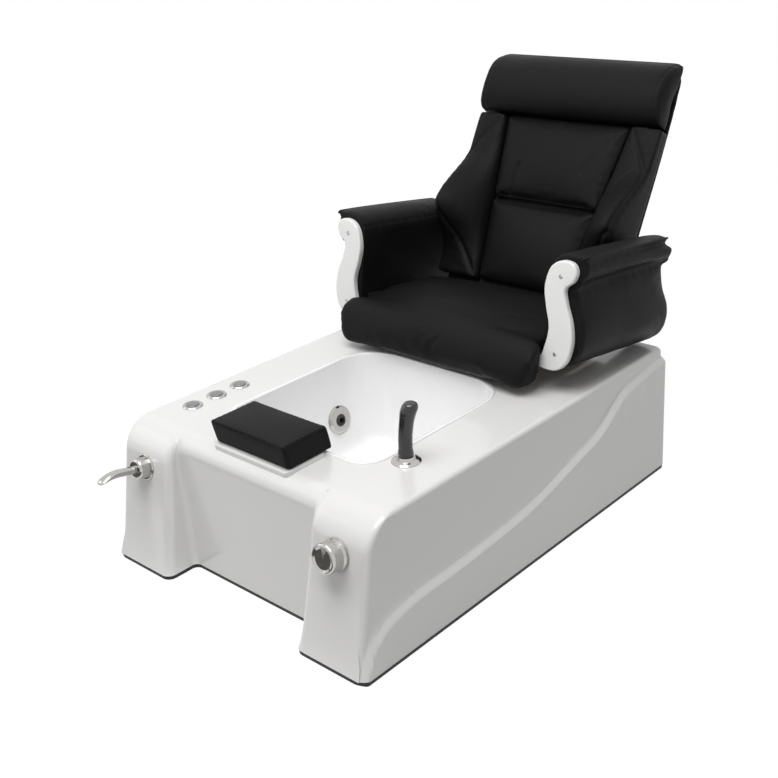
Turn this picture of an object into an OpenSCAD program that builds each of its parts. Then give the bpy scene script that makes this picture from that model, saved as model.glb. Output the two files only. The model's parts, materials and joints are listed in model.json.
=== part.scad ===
// Pedicure spa chair: a moulded foot-spa base with a basin, mixer, waste knob,
// hand shower and push buttons, and a tilted upholstered seat on slide rails.
// Millimetres, Z up. The origin lies on the floor under the middle of the base,
// the user faces -Y and +X is the side of the hand shower.

/* [Base] */
// Width of the base at the floor
base_w = 760; // [630:1:920]
// Length of the base at the floor
base_l = 1080; // [1040:1:1300]
// Height of the deck above the floor
deck_h = 312; // [290:1:376]
// Thickness of the moulded shell
shell_t = 5; // [4:0.5:6]
// Thickness of the board that closes the base underneath
board_t = 9; // [7:0.5:12]
// Width of each front leg at the floor
leg_w = 188; // [156:1:226]
// Depth of the knee recess between the front legs
recess_d = 82; // [68:1:98]
// Radius of the big round from a leg's face into the deck
leg_round = 60; // [50:1:72]
// Backward lean of a leg's face, as a share of its height
leg_lean = 0.19; // [0.16:0.01:0.22]
// Depth of the step at the waved shoulder of each side
shoulder_depth = 13; // [10:0.5:16]
// Height over which the shoulder step blends
shoulder_blend = 10; // [8:0.5:12]
// Draft of each side over the whole height
side_draft = 4; // [2:0.5:6]
// Round between a side and the deck
deck_edge_r = 10; // [8:0.5:12]

/* [Basin] */
// Width of the basin's mouth
basin_w = 420; // [350:1:440]
// Length of the basin's mouth
basin_l = 450; // [375:1:470]
// Distance from the front of the base to the basin's mouth
basin_front = 222; // [216:1:240]
// Height of the basin's floor above the ground
basin_floor = 92; // [90:1:110]
// Amount by which each wall of the basin leans in
basin_lean = 42; // [35:1:50]
// Thickness of the basin's wall
basin_t = 5; // [4:0.5:6]
// Diameter of the waste in the basin's floor
waste_d = 62; // [52:1:66]
// Diameter of the jet on the basin's left wall
jet_d = 70; // [58:1:84]

/* [Controls] */
// Height of the mixer and the waste knob above the floor
control_z = 230; // [220:1:236]
// Diameter of the waste knob
knob_d = 64; // [54:1:76]
// Length of the waste knob
knob_l = 34; // [28:1:40]
// Diameter of the mixer's cap
mixer_d = 45; // [38:1:54]
// Reach of the mixer's lever in front of its cap
lever_l = 76; // [64:1:92]
// Outer diameter of a push button's bezel
bezel_d = 46; // [39:1:55]
// Travel of a push button
button_travel = 3; // [2:0.5:4]
// Distance between push buttons along the deck
button_pitch = 68; // [57:1:80]
// Height of the hand shower above the deck
shower_h = 125; // [104:1:150]
// Diameter of the hand shower's handle
shower_d = 29; // [24:1:34]

/* [Footrest] */
// Width of the footrest pad
pad_w = 216; // [180:1:258]
// Depth of the footrest pad
pad_d = 116; // [97:1:139]
// Height of the footrest pad
pad_h = 54; // [45:1:64]

/* [Seat] */
// Backward tilt of the seat unit in degrees
seat_tilt = 7.5; // [6:0.5:7.5]
// Distance between the arms
seat_w = 544; // [460:1:590]
// Depth of the seat from the arm caps to the backrest
seat_d = 287; // [240:1:330]
// Height of the seat cushion at its back
seat_h = 61; // [52:1:72]
// Thickness of the plywood seat board
seat_board_t = 12; // [10:1:15]
// Distance from the front of the base to the arm caps, at the seat board
seat_front = 705; // [690:1:720]
// Height of the seat board's underside above the deck, at the arm caps
seat_rise = 66; // [66:1:79]
// Length of the arms
arm_l = 375; // [320:1:420]
// Thickness of the moulded arm caps
cap_t = 14; // [11:1:17]

/* [Backrest] */
// Recline of the backrest from the seat's own upright, in degrees
back_recline = 21.9; // [18:0.1:26]
// Length of the backrest above the seat
back_l = 582; // [486:1:698]
// Half width of the backrest at the head roll
back_half_w = 270; // [236:1:284]
// Height of the seam under the upper pad, along the backrest
lumbar_s = 213; // [178:1:255]
// Height of the seam under the head roll, along the backrest
roll_s = 430; // [380:1:480]
// Thickness of the backrest's plywood board
back_board_t = 15; // [12:1:18]

/* [Hidden] */
$fn = 48;

front_y = -base_l / 2;            // front line of the legs at the floor
rear_y = base_l / 2;              // rear of the base at the floor
leg_in = base_w / 2 - leg_w;      // inner side of a leg at the floor
leg_flare = 7;                    // outward flare at the foot of each leg
recess_round = 41;                // round above the knee recess
corner_out = 13;                  // outer front corner of a leg
corner_in = 20;                   // inner front corner of a leg
corner_recess = 14;               // concave corner of the recess
wall_spread = 3;                  // the recess wall leans over by this to each side where it dies out
corner_rear = 16;                 // rear corners of the base
rear_draft = 4;                   // draft of the rear over the whole height
side_stations = 24;               // steps along one side
low_rows = 8;                     // rows below the top rounds
arc_rows = 8;                     // rows on the top rounds
fade = 4;                         // side stations over which the rows settle

// Height of the waved shoulder at shares of the base's length, as shares of the deck's height
shoulder_curve = [[0, 0], [0.04, 0.24], [0.12, 0.35], [0.28, 0.375], [0.48, 0.43], [0.65, 0.565],
                  [0.74, 0.655], [0.825, 0.83], [0.88, 0.865], [1, 0.915]];

// ---- curves ----
// A value from 0 to 1 that eases in and out as t goes from -1 to 1
function ease(t) = t <= -1 ? 0 : t >= 1 ? 1 : 0.5 + t * (0.75 - 0.25 * t * t);
function mix(a, b, t) = a + (b - a) * t;
// Height of a curve given as [place, height] pairs, with a smooth cubic between them
function slope(c, i) = i == 0 || i == len(c) - 1 ? 0
    : (c[i + 1][1] - c[i - 1][1]) / (c[i + 1][0] - c[i - 1][0]);
function segment(c, x, i = 0) = i >= len(c) - 2 || x <= c[i + 1][0] ? i : segment(c, x, i + 1);
function curve(c, x) =
    let (i = segment(c, x), w = c[i + 1][0] - c[i][0], t = min(1, max(0, (x - c[i][0]) / w)),
         a = slope(c, i) * w, b = slope(c, i + 1) * w)
    c[i][1] * (2 * t^3 - 3 * t^2 + 1) + a * (t^3 - 2 * t^2 + t)
    + c[i + 1][1] * (3 * t^2 - 2 * t^3) + b * (t^3 - t^2);
// Inward run of a round of radius r under a top at height h
function top_round(z, r, h) = z <= h - r ? 0 : r - sqrt(max(0, r^2 - (z - h + r)^2));

// ---- closed skins ----
function middle(ring) = [for (k = [0:2]) let (v = [for (p = ring) p[k]]) (min(v) + max(v)) / 2];
// Faces of the bands that join m rings of n points; a looped skin joins its last ring to its first
function bands(n, m, loop = false) = [for (i = [0:loop ? m - 1 : m - 2], j = [0:n - 1])
    let (a = i * n, b = (i + 1) % m * n, q = (j + 1) % n) each [[a + j, b + j, a + q], [a + q, b + j, b + q]]];
// Fan from point c over the ring that starts at point a
function fan(n, a, c, up) = [for (j = [0:n - 1]) up ? [c, a + (j + 1) % n, a + j] : [c, a + j, a + (j + 1) % n]];
// Solid skin over rings of equally many points, each counter-clockwise seen against its travel.
// Each end is fanned from its ring's middle, or from a point of ends that sees the whole of a concave ring
module skin(rings, ends = undef) {
    n = len(rings[0]);
    m = len(rings);
    polyhedron(points = concat([for (r = rings) each r],
            is_undef(ends) ? [middle(rings[0]), middle(rings[m - 1])] : ends),
        faces = concat(bands(n, m), fan(n, 0, n * m, false), fan(n, n * (m - 1), n * m + 1, true)));
}

// ---- outline of the moulded base ----
// g is how far the outline lies inside the outer skin, h the height of the deck's face
function shoulder_z(y) = deck_h * curve(shoulder_curve, (y - front_y) / base_l);
function side_x(y, z, g, h) = base_w / 2 - g - side_draft * z / deck_h
    - shoulder_depth * ease((z - shoulder_z(y)) / shoulder_blend) - top_round(z, deck_edge_r, h);
function leg_y(z, g, h) = front_y + g + leg_lean * z + leg_flare * (1 - exp(-z / 25))
    + top_round(z, leg_round, h);
function recess_y(z, g, h) = max(front_y + g + recess_d + 0.01 * z + top_round(z, recess_round, h),
    leg_y(z, g, h) + 1.5);
function leg_x(z, g) = leg_in + g + 0.045 * z + 6 * (1 - exp(-z / 20));
function back_y(z, g, h) = rear_y - g - rear_draft * z / deck_h - top_round(z, deck_edge_r, h);

corner_steps = 4;
recess_steps = 2;
face_steps = 3;
n_recess = recess_steps + 2 * (corner_steps + 1) + face_steps;   // stations before the outer corner
n_half = n_recess + corner_steps + 1 + side_stations + corner_steps + 1 + recess_steps;

// Share of the side's own rows at station j: none on the front, all on the side and rear
function row_share(j) = ease(2 * (j - n_recess) / (corner_steps + fade) - 1);
function front_row(i, h) = i <= low_rows ? board_t + (h - leg_round - board_t) * (i / low_rows)^1.2
    : h - leg_round + leg_round * sin(90 * (i - low_rows) / arc_rows);
function side_row(i, y, h) =
    let (s = max(shoulder_z(y), board_t + shoulder_blend + 3), b = shoulder_blend)
    i == 0 ? board_t
    : i <= 5 ? s + b * (i - 3) / 2
    : i <= low_rows ? mix(s + b, h - deck_edge_r, (i - 5) / (low_rows - 5))
    : h - deck_edge_r + deck_edge_r * sin(90 * (i - low_rows) / arc_rows);

// Point j of the right half of the outline on row i
function station(j, i, g, h) =
    let (t = (j - n_recess - corner_steps) / (side_stations + 1),
         y0 = mix(front_y, rear_y, min(1, max(0, t))^1.15),
         z = mix(front_row(i, h), side_row(i, y0, h), row_share(j)),
         ly = leg_y(z, g, h), ry = recess_y(z, g, h), lx = leg_x(z, g), by = back_y(z, g, h),
         step = (ry - ly) / 2 - 0.2,
         rr = min(corner_recess, step), ri = min(corner_in - g, step),
         sp = wall_spread * max(0, 1 - (ry - ly) / (corner_recess + corner_in)),
         k = j - recess_steps)
    k < 0 ? [(lx - sp - corner_recess) * j / recess_steps, ry, z]
    : k <= corner_steps ? let (a = 90 * k / corner_steps)
        [lx - sp - corner_recess * (1 - sin(a)), ry - rr * (1 - cos(a)), z]
    : k <= 2 * corner_steps + 1 ? let (a = 90 * (k - corner_steps - 1) / corner_steps)
        [lx + sp + (corner_in - g - sp) * (1 - cos(a)), ly + ri * (1 - sin(a)), z]
    : j < n_recess ? let (x = side_x(ly + corner_out, z, g, h) - corner_out, x0 = lx + corner_in - g)
        [mix(x0, x, (k - 2 * corner_steps - 1) / (face_steps + 1)), ly, z]
    : j <= n_recess + corner_steps ?
        let (a = 90 * (j - n_recess) / corner_steps, y = ly + corner_out * (1 - cos(a)))
        [side_x(y, z, g, h) - corner_out * (1 - sin(a)), y, z]
    : j <= n_recess + corner_steps + side_stations ?
        let (u = ((j - n_recess - corner_steps) / (side_stations + 1))^1.15,
             y = mix(ly + corner_out, by - corner_rear, u))
        [side_x(y, z, g, h), y, z]
    : j <= n_recess + 2 * corner_steps + side_stations + 1 ?
        let (a = 90 * (j - n_recess - corner_steps - side_stations - 1) / corner_steps,
             y = by - corner_rear * (1 - sin(a)))
        [side_x(y, z, g, h) - corner_rear * (1 - cos(a)), y, z]
    : let (x = side_x(by, z, g, h) - corner_rear,
           m = j - n_recess - 2 * corner_steps - side_stations - 1)
        [x * (1 - m / (recess_steps + 1)), by, z];

// The whole outline on row i: the right half, then its mirror image on the left
function base_ring(i, g, h) =
    let (half = [for (j = [0:n_half]) station(j, i, g, h)])
    concat(half, [for (j = [n_half - 1:-1:1]) [-half[j][0], half[j][1], half[j][2]]]);

// ---- frames that the pieces are placed in ----
gap = 0.3;                        // clearance between pieces that lie on each other
fit = 0.05;                       // radial clearance of what turns or slides in a bore
leg_mid = base_w / 2 - leg_w / 2;
face_tilt = atan(leg_lean);
// On the face of a leg at the controls' height, with Z pointing out of the face
module on_leg(side) translate([side * leg_mid, leg_y(control_z, 0, deck_h), control_z])
    rotate([90 - face_tilt, 0, 0]) children();
// On the seat board's underside between the arm caps: X across, Y back, Z up along the seat's upright
module seat_space() translate([0, front_y + seat_front, deck_h + seat_rise])
    rotate([-seat_tilt, 0, 0]) children();
// On the backrest's front plane where it meets the seat: X across, Y back through it, Z up along it
seat_top = seat_board_t + seat_h;
module back_space() seat_space() translate([0, seat_d, seat_top]) rotate([-back_recline, 0, 0]) children();
module both_sides() { children(); mirror([1, 0, 0]) children(); }

function flip(c) = [for (k = [len(c) - 1:-1:0]) c[k]];
// Closed smooth curve through control points, k points to a span
function loop_curve(c, k) = let (n = len(c)) [for (i = [0:n - 1], j = [0:k - 1])
    let (t = j / k, a = c[(i + n - 1) % n], b = c[i], d = c[(i + 1) % n], e = c[(i + 2) % n])
    b + 0.5 * (t * (d - a) + t^2 * (2 * a - 5 * b + 4 * d - e) + t^3 * (3 * b - a - 3 * d + e))];
// Rectangle w by l about the origin, rounded by rf at the front corners and rr at the rear ones
function round_rect(w, l, rf, rr, k = 6) = [for (c = [[1, -1, rf, -90], [1, 1, rr, 0], [-1, 1, rr, 90],
    [-1, -1, rf, 180]], j = [0:k]) let (a = c[3] + 90 * j / k)
    [c[0] * (w / 2 - c[2]) + c[2] * cos(a), c[1] * (l / 2 - c[2]) + c[2] * sin(a)]];
function shrink(o, e) = let (hx = max([for (p = o) p[0]]), hy = max([for (p = o) abs(p[1])]))
    [for (p = o) [p[0] * (1 - e / hx), p[1] * (1 - e / hy)]];
function at(o, h) = [for (p = o) [p[0], p[1], h]];
// Drawn-in outline of a cushion: its sides pull in by e between its corners
function drawn(o, e) = let (hx = max([for (p = o) p[0]]), hy = max([for (p = o) abs(p[1])]))
    [for (p = o) [p[0] - e * sign(p[0]) * (abs(p[0]) / hx) * (1 - (p[1] / hy)^2),
                  p[1] - e * sign(p[1]) * (abs(p[1]) / hy) * (1 - (p[0] / hx)^2)]];
// Outline o with n steps along each of its long straight sides
function stepped(o, n = 5) = [for (i = [0:len(o) - 1]) let (a = o[i], b = o[(i + 1) % len(o)],
    m = norm(b - a) > 40 ? n : 1) for (j = [0:m - 1]) mix(a, b, j / m)];
// Pillow height over outline o at point p: 1 in the middle and 0 on each side
function pillow(o, p) = let (hx = max([for (q = o) q[0]]), hy = max([for (q = o) abs(q[1])]))
    (1 - (p[0] / hx)^2) * (1 - (p[1] / hy)^2);
// Rings of a cushion over outline o: flat back at t0, rounds of radius r, sides drawn in by e, crowned face
function cushion(o, t0, t1, r, crown, e = 4) = let (side = drawn(o, e), face = shrink(side, r)) concat(
    [at([for (p = o) p / 2], t0), at(shrink(side, r * 0.5), t0), at(shrink(side, r * 0.1), t0 + r * 0.45)],
    [for (a = [0:22.5:90]) at(shrink(side, r * (1 - cos(a))), t1 - r + r * sin(a))],
    [for (f = [0.86, 0.68, 0.46, 0.22])
        [for (p = face) [p[0] * f, p[1] * f, t1 + crown * pillow(face, p * f)]]]);

// ---- base ----
inner_rows = [0, 1, 3, 5, 8, 10, 12, 14, 16];
// The outer skin, the inner skin and the rim at the floor; the deck has a face above and below
module shell_body() {
    outer = [for (i = [0:low_rows + arc_rows]) base_ring(i, 0, deck_h)];
    inner = [for (i = [len(inner_rows) - 1:-1:0]) base_ring(inner_rows[i], shell_t, deck_h - shell_t)];
    n = len(outer[0]);
    m = len(outer) + len(inner);
    top = len(outer) - 1;
    walls = [for (f = bands(n, m, true)) if (min(f) < top * n || min(f) >= (top + 1) * n) f];
    // Both deck faces fan out from the basin's middle
    polyhedron(points = concat([for (r = concat(outer, inner)) each r],
            [[0, basin_y, deck_h], [0, basin_y, deck_h - shell_t]]),
        faces = concat(walls, fan(n, top * n, n * m, true), fan(n, (top + 1) * n, n * m + 1, false)));
}
module base_shell() color("whitesmoke") difference() {
    shell_body();
    translate([0, basin_y, 0]) linear_extrude(deck_h + 1) polygon(tub_outline(-basin_t - gap));
    for (k = [0:2]) translate([button_x, button_y(k), deck_h / 2]) cylinder(h = deck_h, r = barrel_r + gap);
    translate([shower_x, shower_y, deck_h / 2]) cylinder(h = deck_h, r = socket_r + gap);
    for (side = [-1, 1]) on_leg(side) {
        translate([0, 0, -spot_depth]) cylinder(h = 30, r = escutcheon_r + gap);
        translate([0, 0, -30]) cylinder(h = 60, r = neck_r + gap);
    }
    translate([-panel_hole_w / 2, rear_y - 20, panel_z - panel_hole_h / 2])
        cube([panel_hole_w, 40, panel_hole_h]);
    translate([0, rear_y - 20, pipe_z]) rotate([-90, 0, 0]) cylinder(h = 40, r = pipe_r + gap);
    on_rear() for (p = screw_spots) translate([p[0], p[1], -20]) cylinder(h = 40, r = panel_screw_r + fit);
}
module base_board() color("black") linear_extrude(board_t)
    polygon([for (p = base_ring(0, 1, deck_h)) [p[0], p[1]]]);

tube = 25;                        // square tube of the welded frame
frame_x = base_w / 2 - 55;        // centre of the frame's long tubes
frame_clear = 5;                  // room between the front posts and the shell's inner round
frame_front = leg_y(deck_h - shell_t, shell_t, deck_h - shell_t) + tube / 2 + frame_clear;
frame_rear = rear_y - 34;
rail_x = 180;                     // distance of the slide rails from the middle
rail_front = front_y + 690;
rail_back = rear_y - 40;
frame_mid = front_y + basin_front + basin_l + 2 * tube;
module bar_y(x, y0, y1, z) translate([x - tube / 2, y0 - tube / 2, z]) cube([tube, y1 - y0 + tube, tube]);
module bar_x(y, z) translate([-frame_x - tube / 2, y - tube / 2, z]) cube([2 * frame_x + tube, tube, tube]);
module base_frame() color("dimgray") {
    top = deck_h - shell_t;
    for (x = [-frame_x, frame_x]) {
        bar_y(x, frame_front, frame_rear, board_t);
        for (y = [frame_front, frame_mid, frame_rear])
            translate([x - tube / 2, y - tube / 2, board_t]) cube([tube, tube, top - board_t]);
    }
    for (y = [frame_front, frame_mid, frame_rear]) bar_x(y, board_t);
    for (y = [frame_mid, frame_rear]) bar_x(y, top - 2 * tube);
    for (x = [-rail_x, rail_x]) bar_y(x, frame_mid, frame_rear, top - tube);
}

// ---- rear service panel ----
panel_w = 440;
panel_h = 186;
panel_t = 3;
panel_z = 170;
panel_hole_w = panel_w - 50;
panel_hole_h = panel_h - 50;
rear_tilt = atan(rear_draft / deck_h);
panel_screw_r = 2;
inlet_x = [90, 150];              // hot and cold water
inlet_r = 10.5;                   // half-inch threaded stubs
gland_x = -30;
gland_r = 8;
vent_x = -190;                    // first louvre
vent_pitch = 10;
port_y = -15;                     // ports lie this far from the panel's middle, upwards
// On the rear face at the panel's middle, with Z pointing out and Y down
module on_rear() translate([0, rear_y - rear_draft * panel_z / deck_h, panel_z])
    rotate([-90 + rear_tilt, 0, 0]) children();
module on_port(x) on_rear() translate([x, port_y, 0]) children();
// Hexagon nuts of radius r in front of the panel and behind it
module port_nuts(r) {
    translate([0, 0, -7]) cylinder(h = 6.9, r = r, $fn = 6);
    translate([0, 0, panel_t + 0.2]) cylinder(h = 5, r = r, $fn = 6);
}
screw_spots = [for (x = [-1, 0, 1], z = [-1, 1]) [x * (panel_w / 2 - 12), z * (panel_h / 2 - 12)]];
module rear_panel() color("whitesmoke") difference() {
    on_rear() translate([0, 0, gap / 3]) linear_extrude(panel_t) polygon(round_rect(panel_w, panel_h, 12, 12));
    on_rear() for (p = screw_spots) translate([p[0], p[1], -1]) cylinder(h = 10, r = panel_screw_r + 0.2);
    for (x = inlet_x) on_port(x) translate([0, 0, -1]) cylinder(h = 10, r = inlet_r + fit);
    on_port(gland_x) translate([0, 0, -1]) cylinder(h = 10, r = gland_r + fit);
    for (k = [0:9]) on_port(vent_x + vent_pitch * k) translate([0, 0, -1]) linear_extrude(10)
        polygon(round_rect(4, 60, 1.9, 1.9));
}
module panel_screws() color("silver") on_rear() for (p = screw_spots) translate([p[0], p[1], 0]) {
    translate([0, 0, gap / 3 + panel_t]) rotate_extrude()
        polygon([[0, 0], [4, 0], [3.6, 1.4], [2, 2.2], [0, 2.4]]);
    translate([0, 0, -shell_t - 3]) cylinder(h = shell_t + 4 + panel_t, r = panel_screw_r);
}
module water_inlets() color("goldenrod") for (x = inlet_x) on_port(x) difference() {
    union() {
        translate([0, 0, -30]) cylinder(h = 52, r = inlet_r);
        port_nuts(inlet_r + 4.5);
    }
    translate([0, 0, -31]) cylinder(h = 60, r = inlet_r - 3);
}
module cable_gland() color("dimgray") on_port(gland_x) difference() {
    union() {
        translate([0, 0, -14]) cylinder(h = 22, r = gland_r);
        port_nuts(gland_r + 4);
        translate([0, 0, 8]) cylinder(h = 12, r1 = gland_r, r2 = gland_r - 2);
    }
    translate([0, 0, -15]) cylinder(h = 40, r = 3.5);
}

// ---- basin, waste and jet ----
basin_y = front_y + basin_front + basin_l / 2;
rim_w = 10;                       // lip of the basin on the deck
rim_h = 3;
tub_front_r = 48;                 // corner radii of the mouth
tub_rear_r = 95;
tub_front_share = 0.4;            // the corner radii shrink by these shares of the run inside the mouth
tub_rear_share = 0.8;
function tub_corner(r, e, share) = r - e * (e > 0 ? share : 1);
function tub_outline(e) = round_rect(basin_w - 2 * e, basin_l - 2 * e,
    tub_corner(tub_front_r, e, tub_front_share), tub_corner(tub_rear_r, e, tub_rear_share));
wall_slope = basin_lean / (deck_h - basin_floor);
// Run of the inner wall inside the mouth at height z
function wall_in(z) = wall_slope * (deck_h - z);
foot_r = 34;                      // round between the wall and the floor
// Upward profile [run inside the mouth, height] of the foot of a wall, moved out by t
function tub_profile(t) = [for (a = [90:-18:0]) let (z = basin_floor - t + foot_r * (1 - sin(a)))
    [wall_in(max(basin_floor, z)) - t + foot_r * (1 - cos(a)), z]];
module basin() color("white") difference() {
    translate([0, basin_y, 0]) skin(concat(
        [for (p = tub_profile(basin_t)) at(tub_outline(p[0]), p[1])],
        [for (p = [[-basin_t, 0], [-rim_w, 0], [-rim_w, 1.2], [-rim_w + 2.5, rim_h], [-3, rim_h],
                   [-0.8, rim_h - 1], [0, -2]]) at(tub_outline(p[0]), deck_h + p[1])],
        [for (p = flip(tub_profile(0))) at(tub_outline(p[0]), p[1])]));
    translate([0, drain_y, basin_floor - 20]) cylinder(h = 40, r = tail_r + gap);
    at_jet() translate([0, 0, -20]) cylinder(h = 40, r = jet_neck_r + gap);
}
drain_y = basin_y + 40;
waste_r = waste_d / 2;
tail_r = waste_r * 0.62;
plug_r = waste_r * 0.72;
stem_r = 4;
under_floor = basin_floor - basin_t;
tail_t = 3;
tail_l = 14;                      // tail of the flange under the basin
module drain_flange() color("silver") translate([0, drain_y, 0]) {
    difference() {
        union() {
            translate([0, 0, basin_floor]) rotate_extrude()
                polygon([[0, 0], [waste_r, 0], [waste_r, 1], [waste_r - 2, 3], [0, 3]]);
            translate([0, 0, under_floor - tail_l]) cylinder(h = basin_t + tail_l, r = tail_r);
        }
        translate([0, 0, under_floor - tail_l - 1]) cylinder(h = 40, r = tail_r - tail_t);
    }
    difference() {
        translate([0, 0, under_floor - 10]) {
            translate([-tail_r + 1, -2, 0]) cube([2 * tail_r - 2, 4, 8]);
            cylinder(h = 8, r = stem_r + 3);
        }
        cylinder(h = deck_h, r = stem_r + fit);
    }
}
module drain_plug() color("silver") translate([0, drain_y, 0]) {
    translate([0, 0, basin_floor + 3 + gap]) rotate_extrude()
        polygon([[0, 0], [plug_r, 0], [plug_r, 1.5], [plug_r * 0.8, 4], [plug_r * 0.45, 5.4], [0, 6]]);
    translate([0, 0, under_floor - 26]) cylinder(h = 26 + basin_t + 4, r = stem_r);
}
pipe_r = tail_r - tail_t - 0.2;   // the pipe slips into the flange's tail
pipe_t = 3;
pipe_z = board_t + tube + pipe_r + 2;       // it runs over the frame's cross tubes
pipe_top = under_floor - tail_l + 3;
bend = pipe_r + 4;                // radius of the elbow
collar_y = rear_y + 4;            // shoulder that a waste hose is pushed against
outlet_y = collar_y + 24;
hose_r = pipe_r - 0.8;            // outer radius of the spigot behind the shoulder
lead_in = 2;                      // length of the cone at the spigot's end
// Run of radius r from the flange round an elbow to place y at the rear, its top longer by e
module pipe_run(r, y, e = 0) {
    translate([0, drain_y, pipe_z + bend]) cylinder(h = pipe_top - pipe_z - bend + e, r = r);
    translate([0, drain_y + bend, pipe_z + bend]) rotate([0, 90, 0]) rotate([0, 0, -90])
        rotate_extrude(angle = 90) translate([bend, 0]) circle(r = r);
    translate([0, drain_y + bend, pipe_z]) rotate([-90, 0, 0]) cylinder(h = y - drain_y - bend, r = r);
}
module waste_pipe() color("whitesmoke") difference() {
    union() {
        pipe_run(pipe_r, collar_y);
        translate([0, collar_y, pipe_z]) rotate([-90, 0, 0]) {
            cylinder(h = outlet_y - collar_y - lead_in, r = hose_r);
            translate([0, 0, outlet_y - collar_y - lead_in]) cylinder(h = lead_in, r1 = hose_r, r2 = hose_r - 1);
        }
    }
    pipe_run(pipe_r - pipe_t, outlet_y + 1, 1);
}
jet_y = front_y + 533;
jet_z = 180;
jet_neck_r = 20;
jet_r = jet_d / 2;
// On the basin's left wall, with Z pointing into the basin
module at_jet() translate([-(basin_w / 2 - wall_in(jet_z)), jet_y, jet_z])
    rotate([0, 90 - atan(wall_slope), 0]) children();
module jet_body() color("silver") at_jet() difference() {
    union() {
        rotate_extrude() polygon([[0, 0.1], [jet_r, 0.1], [jet_r, 2], [jet_r - 4, 5], [jet_r - 9, 6], [0, 6]]);
        translate([0, 0, -26]) cylinder(h = 28, r = jet_neck_r);
        translate([0, 0, -basin_t - 8]) cylinder(h = 7.7, r = jet_neck_r + 9, $fn = 6);
    }
    translate([0, 0, -8]) cylinder(h = 20, r = jet_neck_r - 5 + fit);
    translate([0, 0, -30]) cylinder(h = 40, r = 8);
}
module jet_nozzle() color("gainsboro") at_jet() difference() {
    translate([0, 0, -8 + gap]) rotate_extrude()
        polygon([[0, 0], [jet_neck_r - 5, 0], [jet_neck_r - 5, 14], [jet_neck_r - 8, 17], [0, 17]]);
    translate([0, 0, -9]) cylinder(h = 12, r = 6);
    translate([0, 0, 2]) cylinder(h = 20, r1 = 6, r2 = 9);
    for (a = [0:60:300]) rotate([0, 0, a]) translate([jet_neck_r - 8.4, 0, 4]) cylinder(h = 10, r = 1.3);
}
module jet_motor() color("dimgray") at_jet() {
    translate([0, 0, -92]) cylinder(h = 66 - gap, r = 34);
    translate([0, 0, -100]) cylinder(h = 8, r = 26);
    translate([-8, 30, -74]) cube([16, 14, 30]);
}

// ---- mixer on the left leg ----
escutcheon_r = 28;
spot_depth = 2;                   // the escutcheons sit in shallow spot faces of the shell
neck_r = mixer_d / 2 - 6.5;
nut_r = neck_r + 6;               // the nuts behind the legs' faces
nut_gap = 0.6 + top_round(control_z + nut_r, leg_round, deck_h - shell_t);    // they clear the inner round
cap_r = mixer_d / 2;
cap_z = 3 + gap;                  // the cap starts just in front of its escutcheon
cap_l = 25;
lug_z = cap_z + cap_l + 12;       // axis on which the lever tilts, clear of the cap at every angle
lug_w = 9;
pin_r = 2.5;
module plate_ring(bore) rotate_extrude() polygon([[bore, -spot_depth + 0.1], [escutcheon_r, -spot_depth + 0.1],
    [escutcheon_r, 1.4], [escutcheon_r - 2, 3], [bore, 3]]);
module mixer_body() color("goldenrod") on_leg(-1) {
    translate([0, 0, -64]) cylinder(h = 64 - shell_t - nut_gap, r = nut_r);
    translate([0, 0, -10]) cylinder(h = 10 + cap_z + 16, r = neck_r);
    for (a = [90, -90]) translate([0, 0, -48]) rotate([0, a, 0]) cylinder(h = neck_r + 18, r = 8);
    translate([0, -neck_r, -48]) rotate([90, 0, 0]) cylinder(h = 16, r = 8);
}
module mixer_escutcheon() color("silver") on_leg(-1) plate_ring(neck_r + fit);
module mixer_cap() color("silver") on_leg(-1) difference() {
    union() {
        translate([0, 0, cap_z]) rotate_extrude() polygon(concat([[0, 0], [cap_r, 0]],
            [for (a = [0:15:90]) [cap_r - 6 + 6 * cos(a), cap_l - 6 + 6 * sin(a)]], [[0, cap_l]]));
        translate([-lug_w / 2, -6, cap_z + cap_l - 2]) cube([lug_w, 12, lug_z - cap_z - cap_l + 2]);
        translate([-lug_w / 2, 0, lug_z]) rotate([0, 90, 0]) cylinder(h = lug_w, r = 6);
    }
    translate([0, 0, cap_z - 1]) cylinder(h = 17 + gap, r = neck_r + fit);
    translate([-lug_w, 0, lug_z]) rotate([0, 90, 0]) cylinder(h = 2 * lug_w, r = pin_r + fit);
}
// Lever along Z: a forked root on the pin, a waist, and a flat oval end
lever_path = [[-8, 0, 10, 8], [0, 0, 10.5, 8.5], [8, 0, 10, 8], [18, 0.5, 8.5, 6.5], [33, 1, 7.5, 5.4],
    [48, -1, 8.5, 4.8], [60, -5, 10.5, 4.2], [71, -9.5, 11, 3.6], [76, -12, 8, 2.6]];
// Cross-section of the lever; only its reach past the lug grows with lever_l
function oval(p) = [for (k = [0:15]) let (a = -22.5 * k)
    [p[2] * cos(a), p[1] + p[3] * sin(a), p[0] <= 8 ? p[0] : 8 + (p[0] - 8) * (lever_l - 8) / 68]];
module mixer_lever() color("silver") on_leg(-1) translate([0, 0, lug_z]) difference() {
    skin([for (p = lever_path) flip(oval(p))]);
    translate([-lug_w / 2 - gap, -20, -20]) cube([lug_w + 2 * gap, 40, 27]);
    translate([-20, 0, 0]) rotate([0, 90, 0]) cylinder(h = 40, r = pin_r);
}
module lever_pin() color("gray") on_leg(-1) translate([-9.5, 0, lug_z]) rotate([0, 90, 0])
    cylinder(h = 19, r = pin_r);

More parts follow.
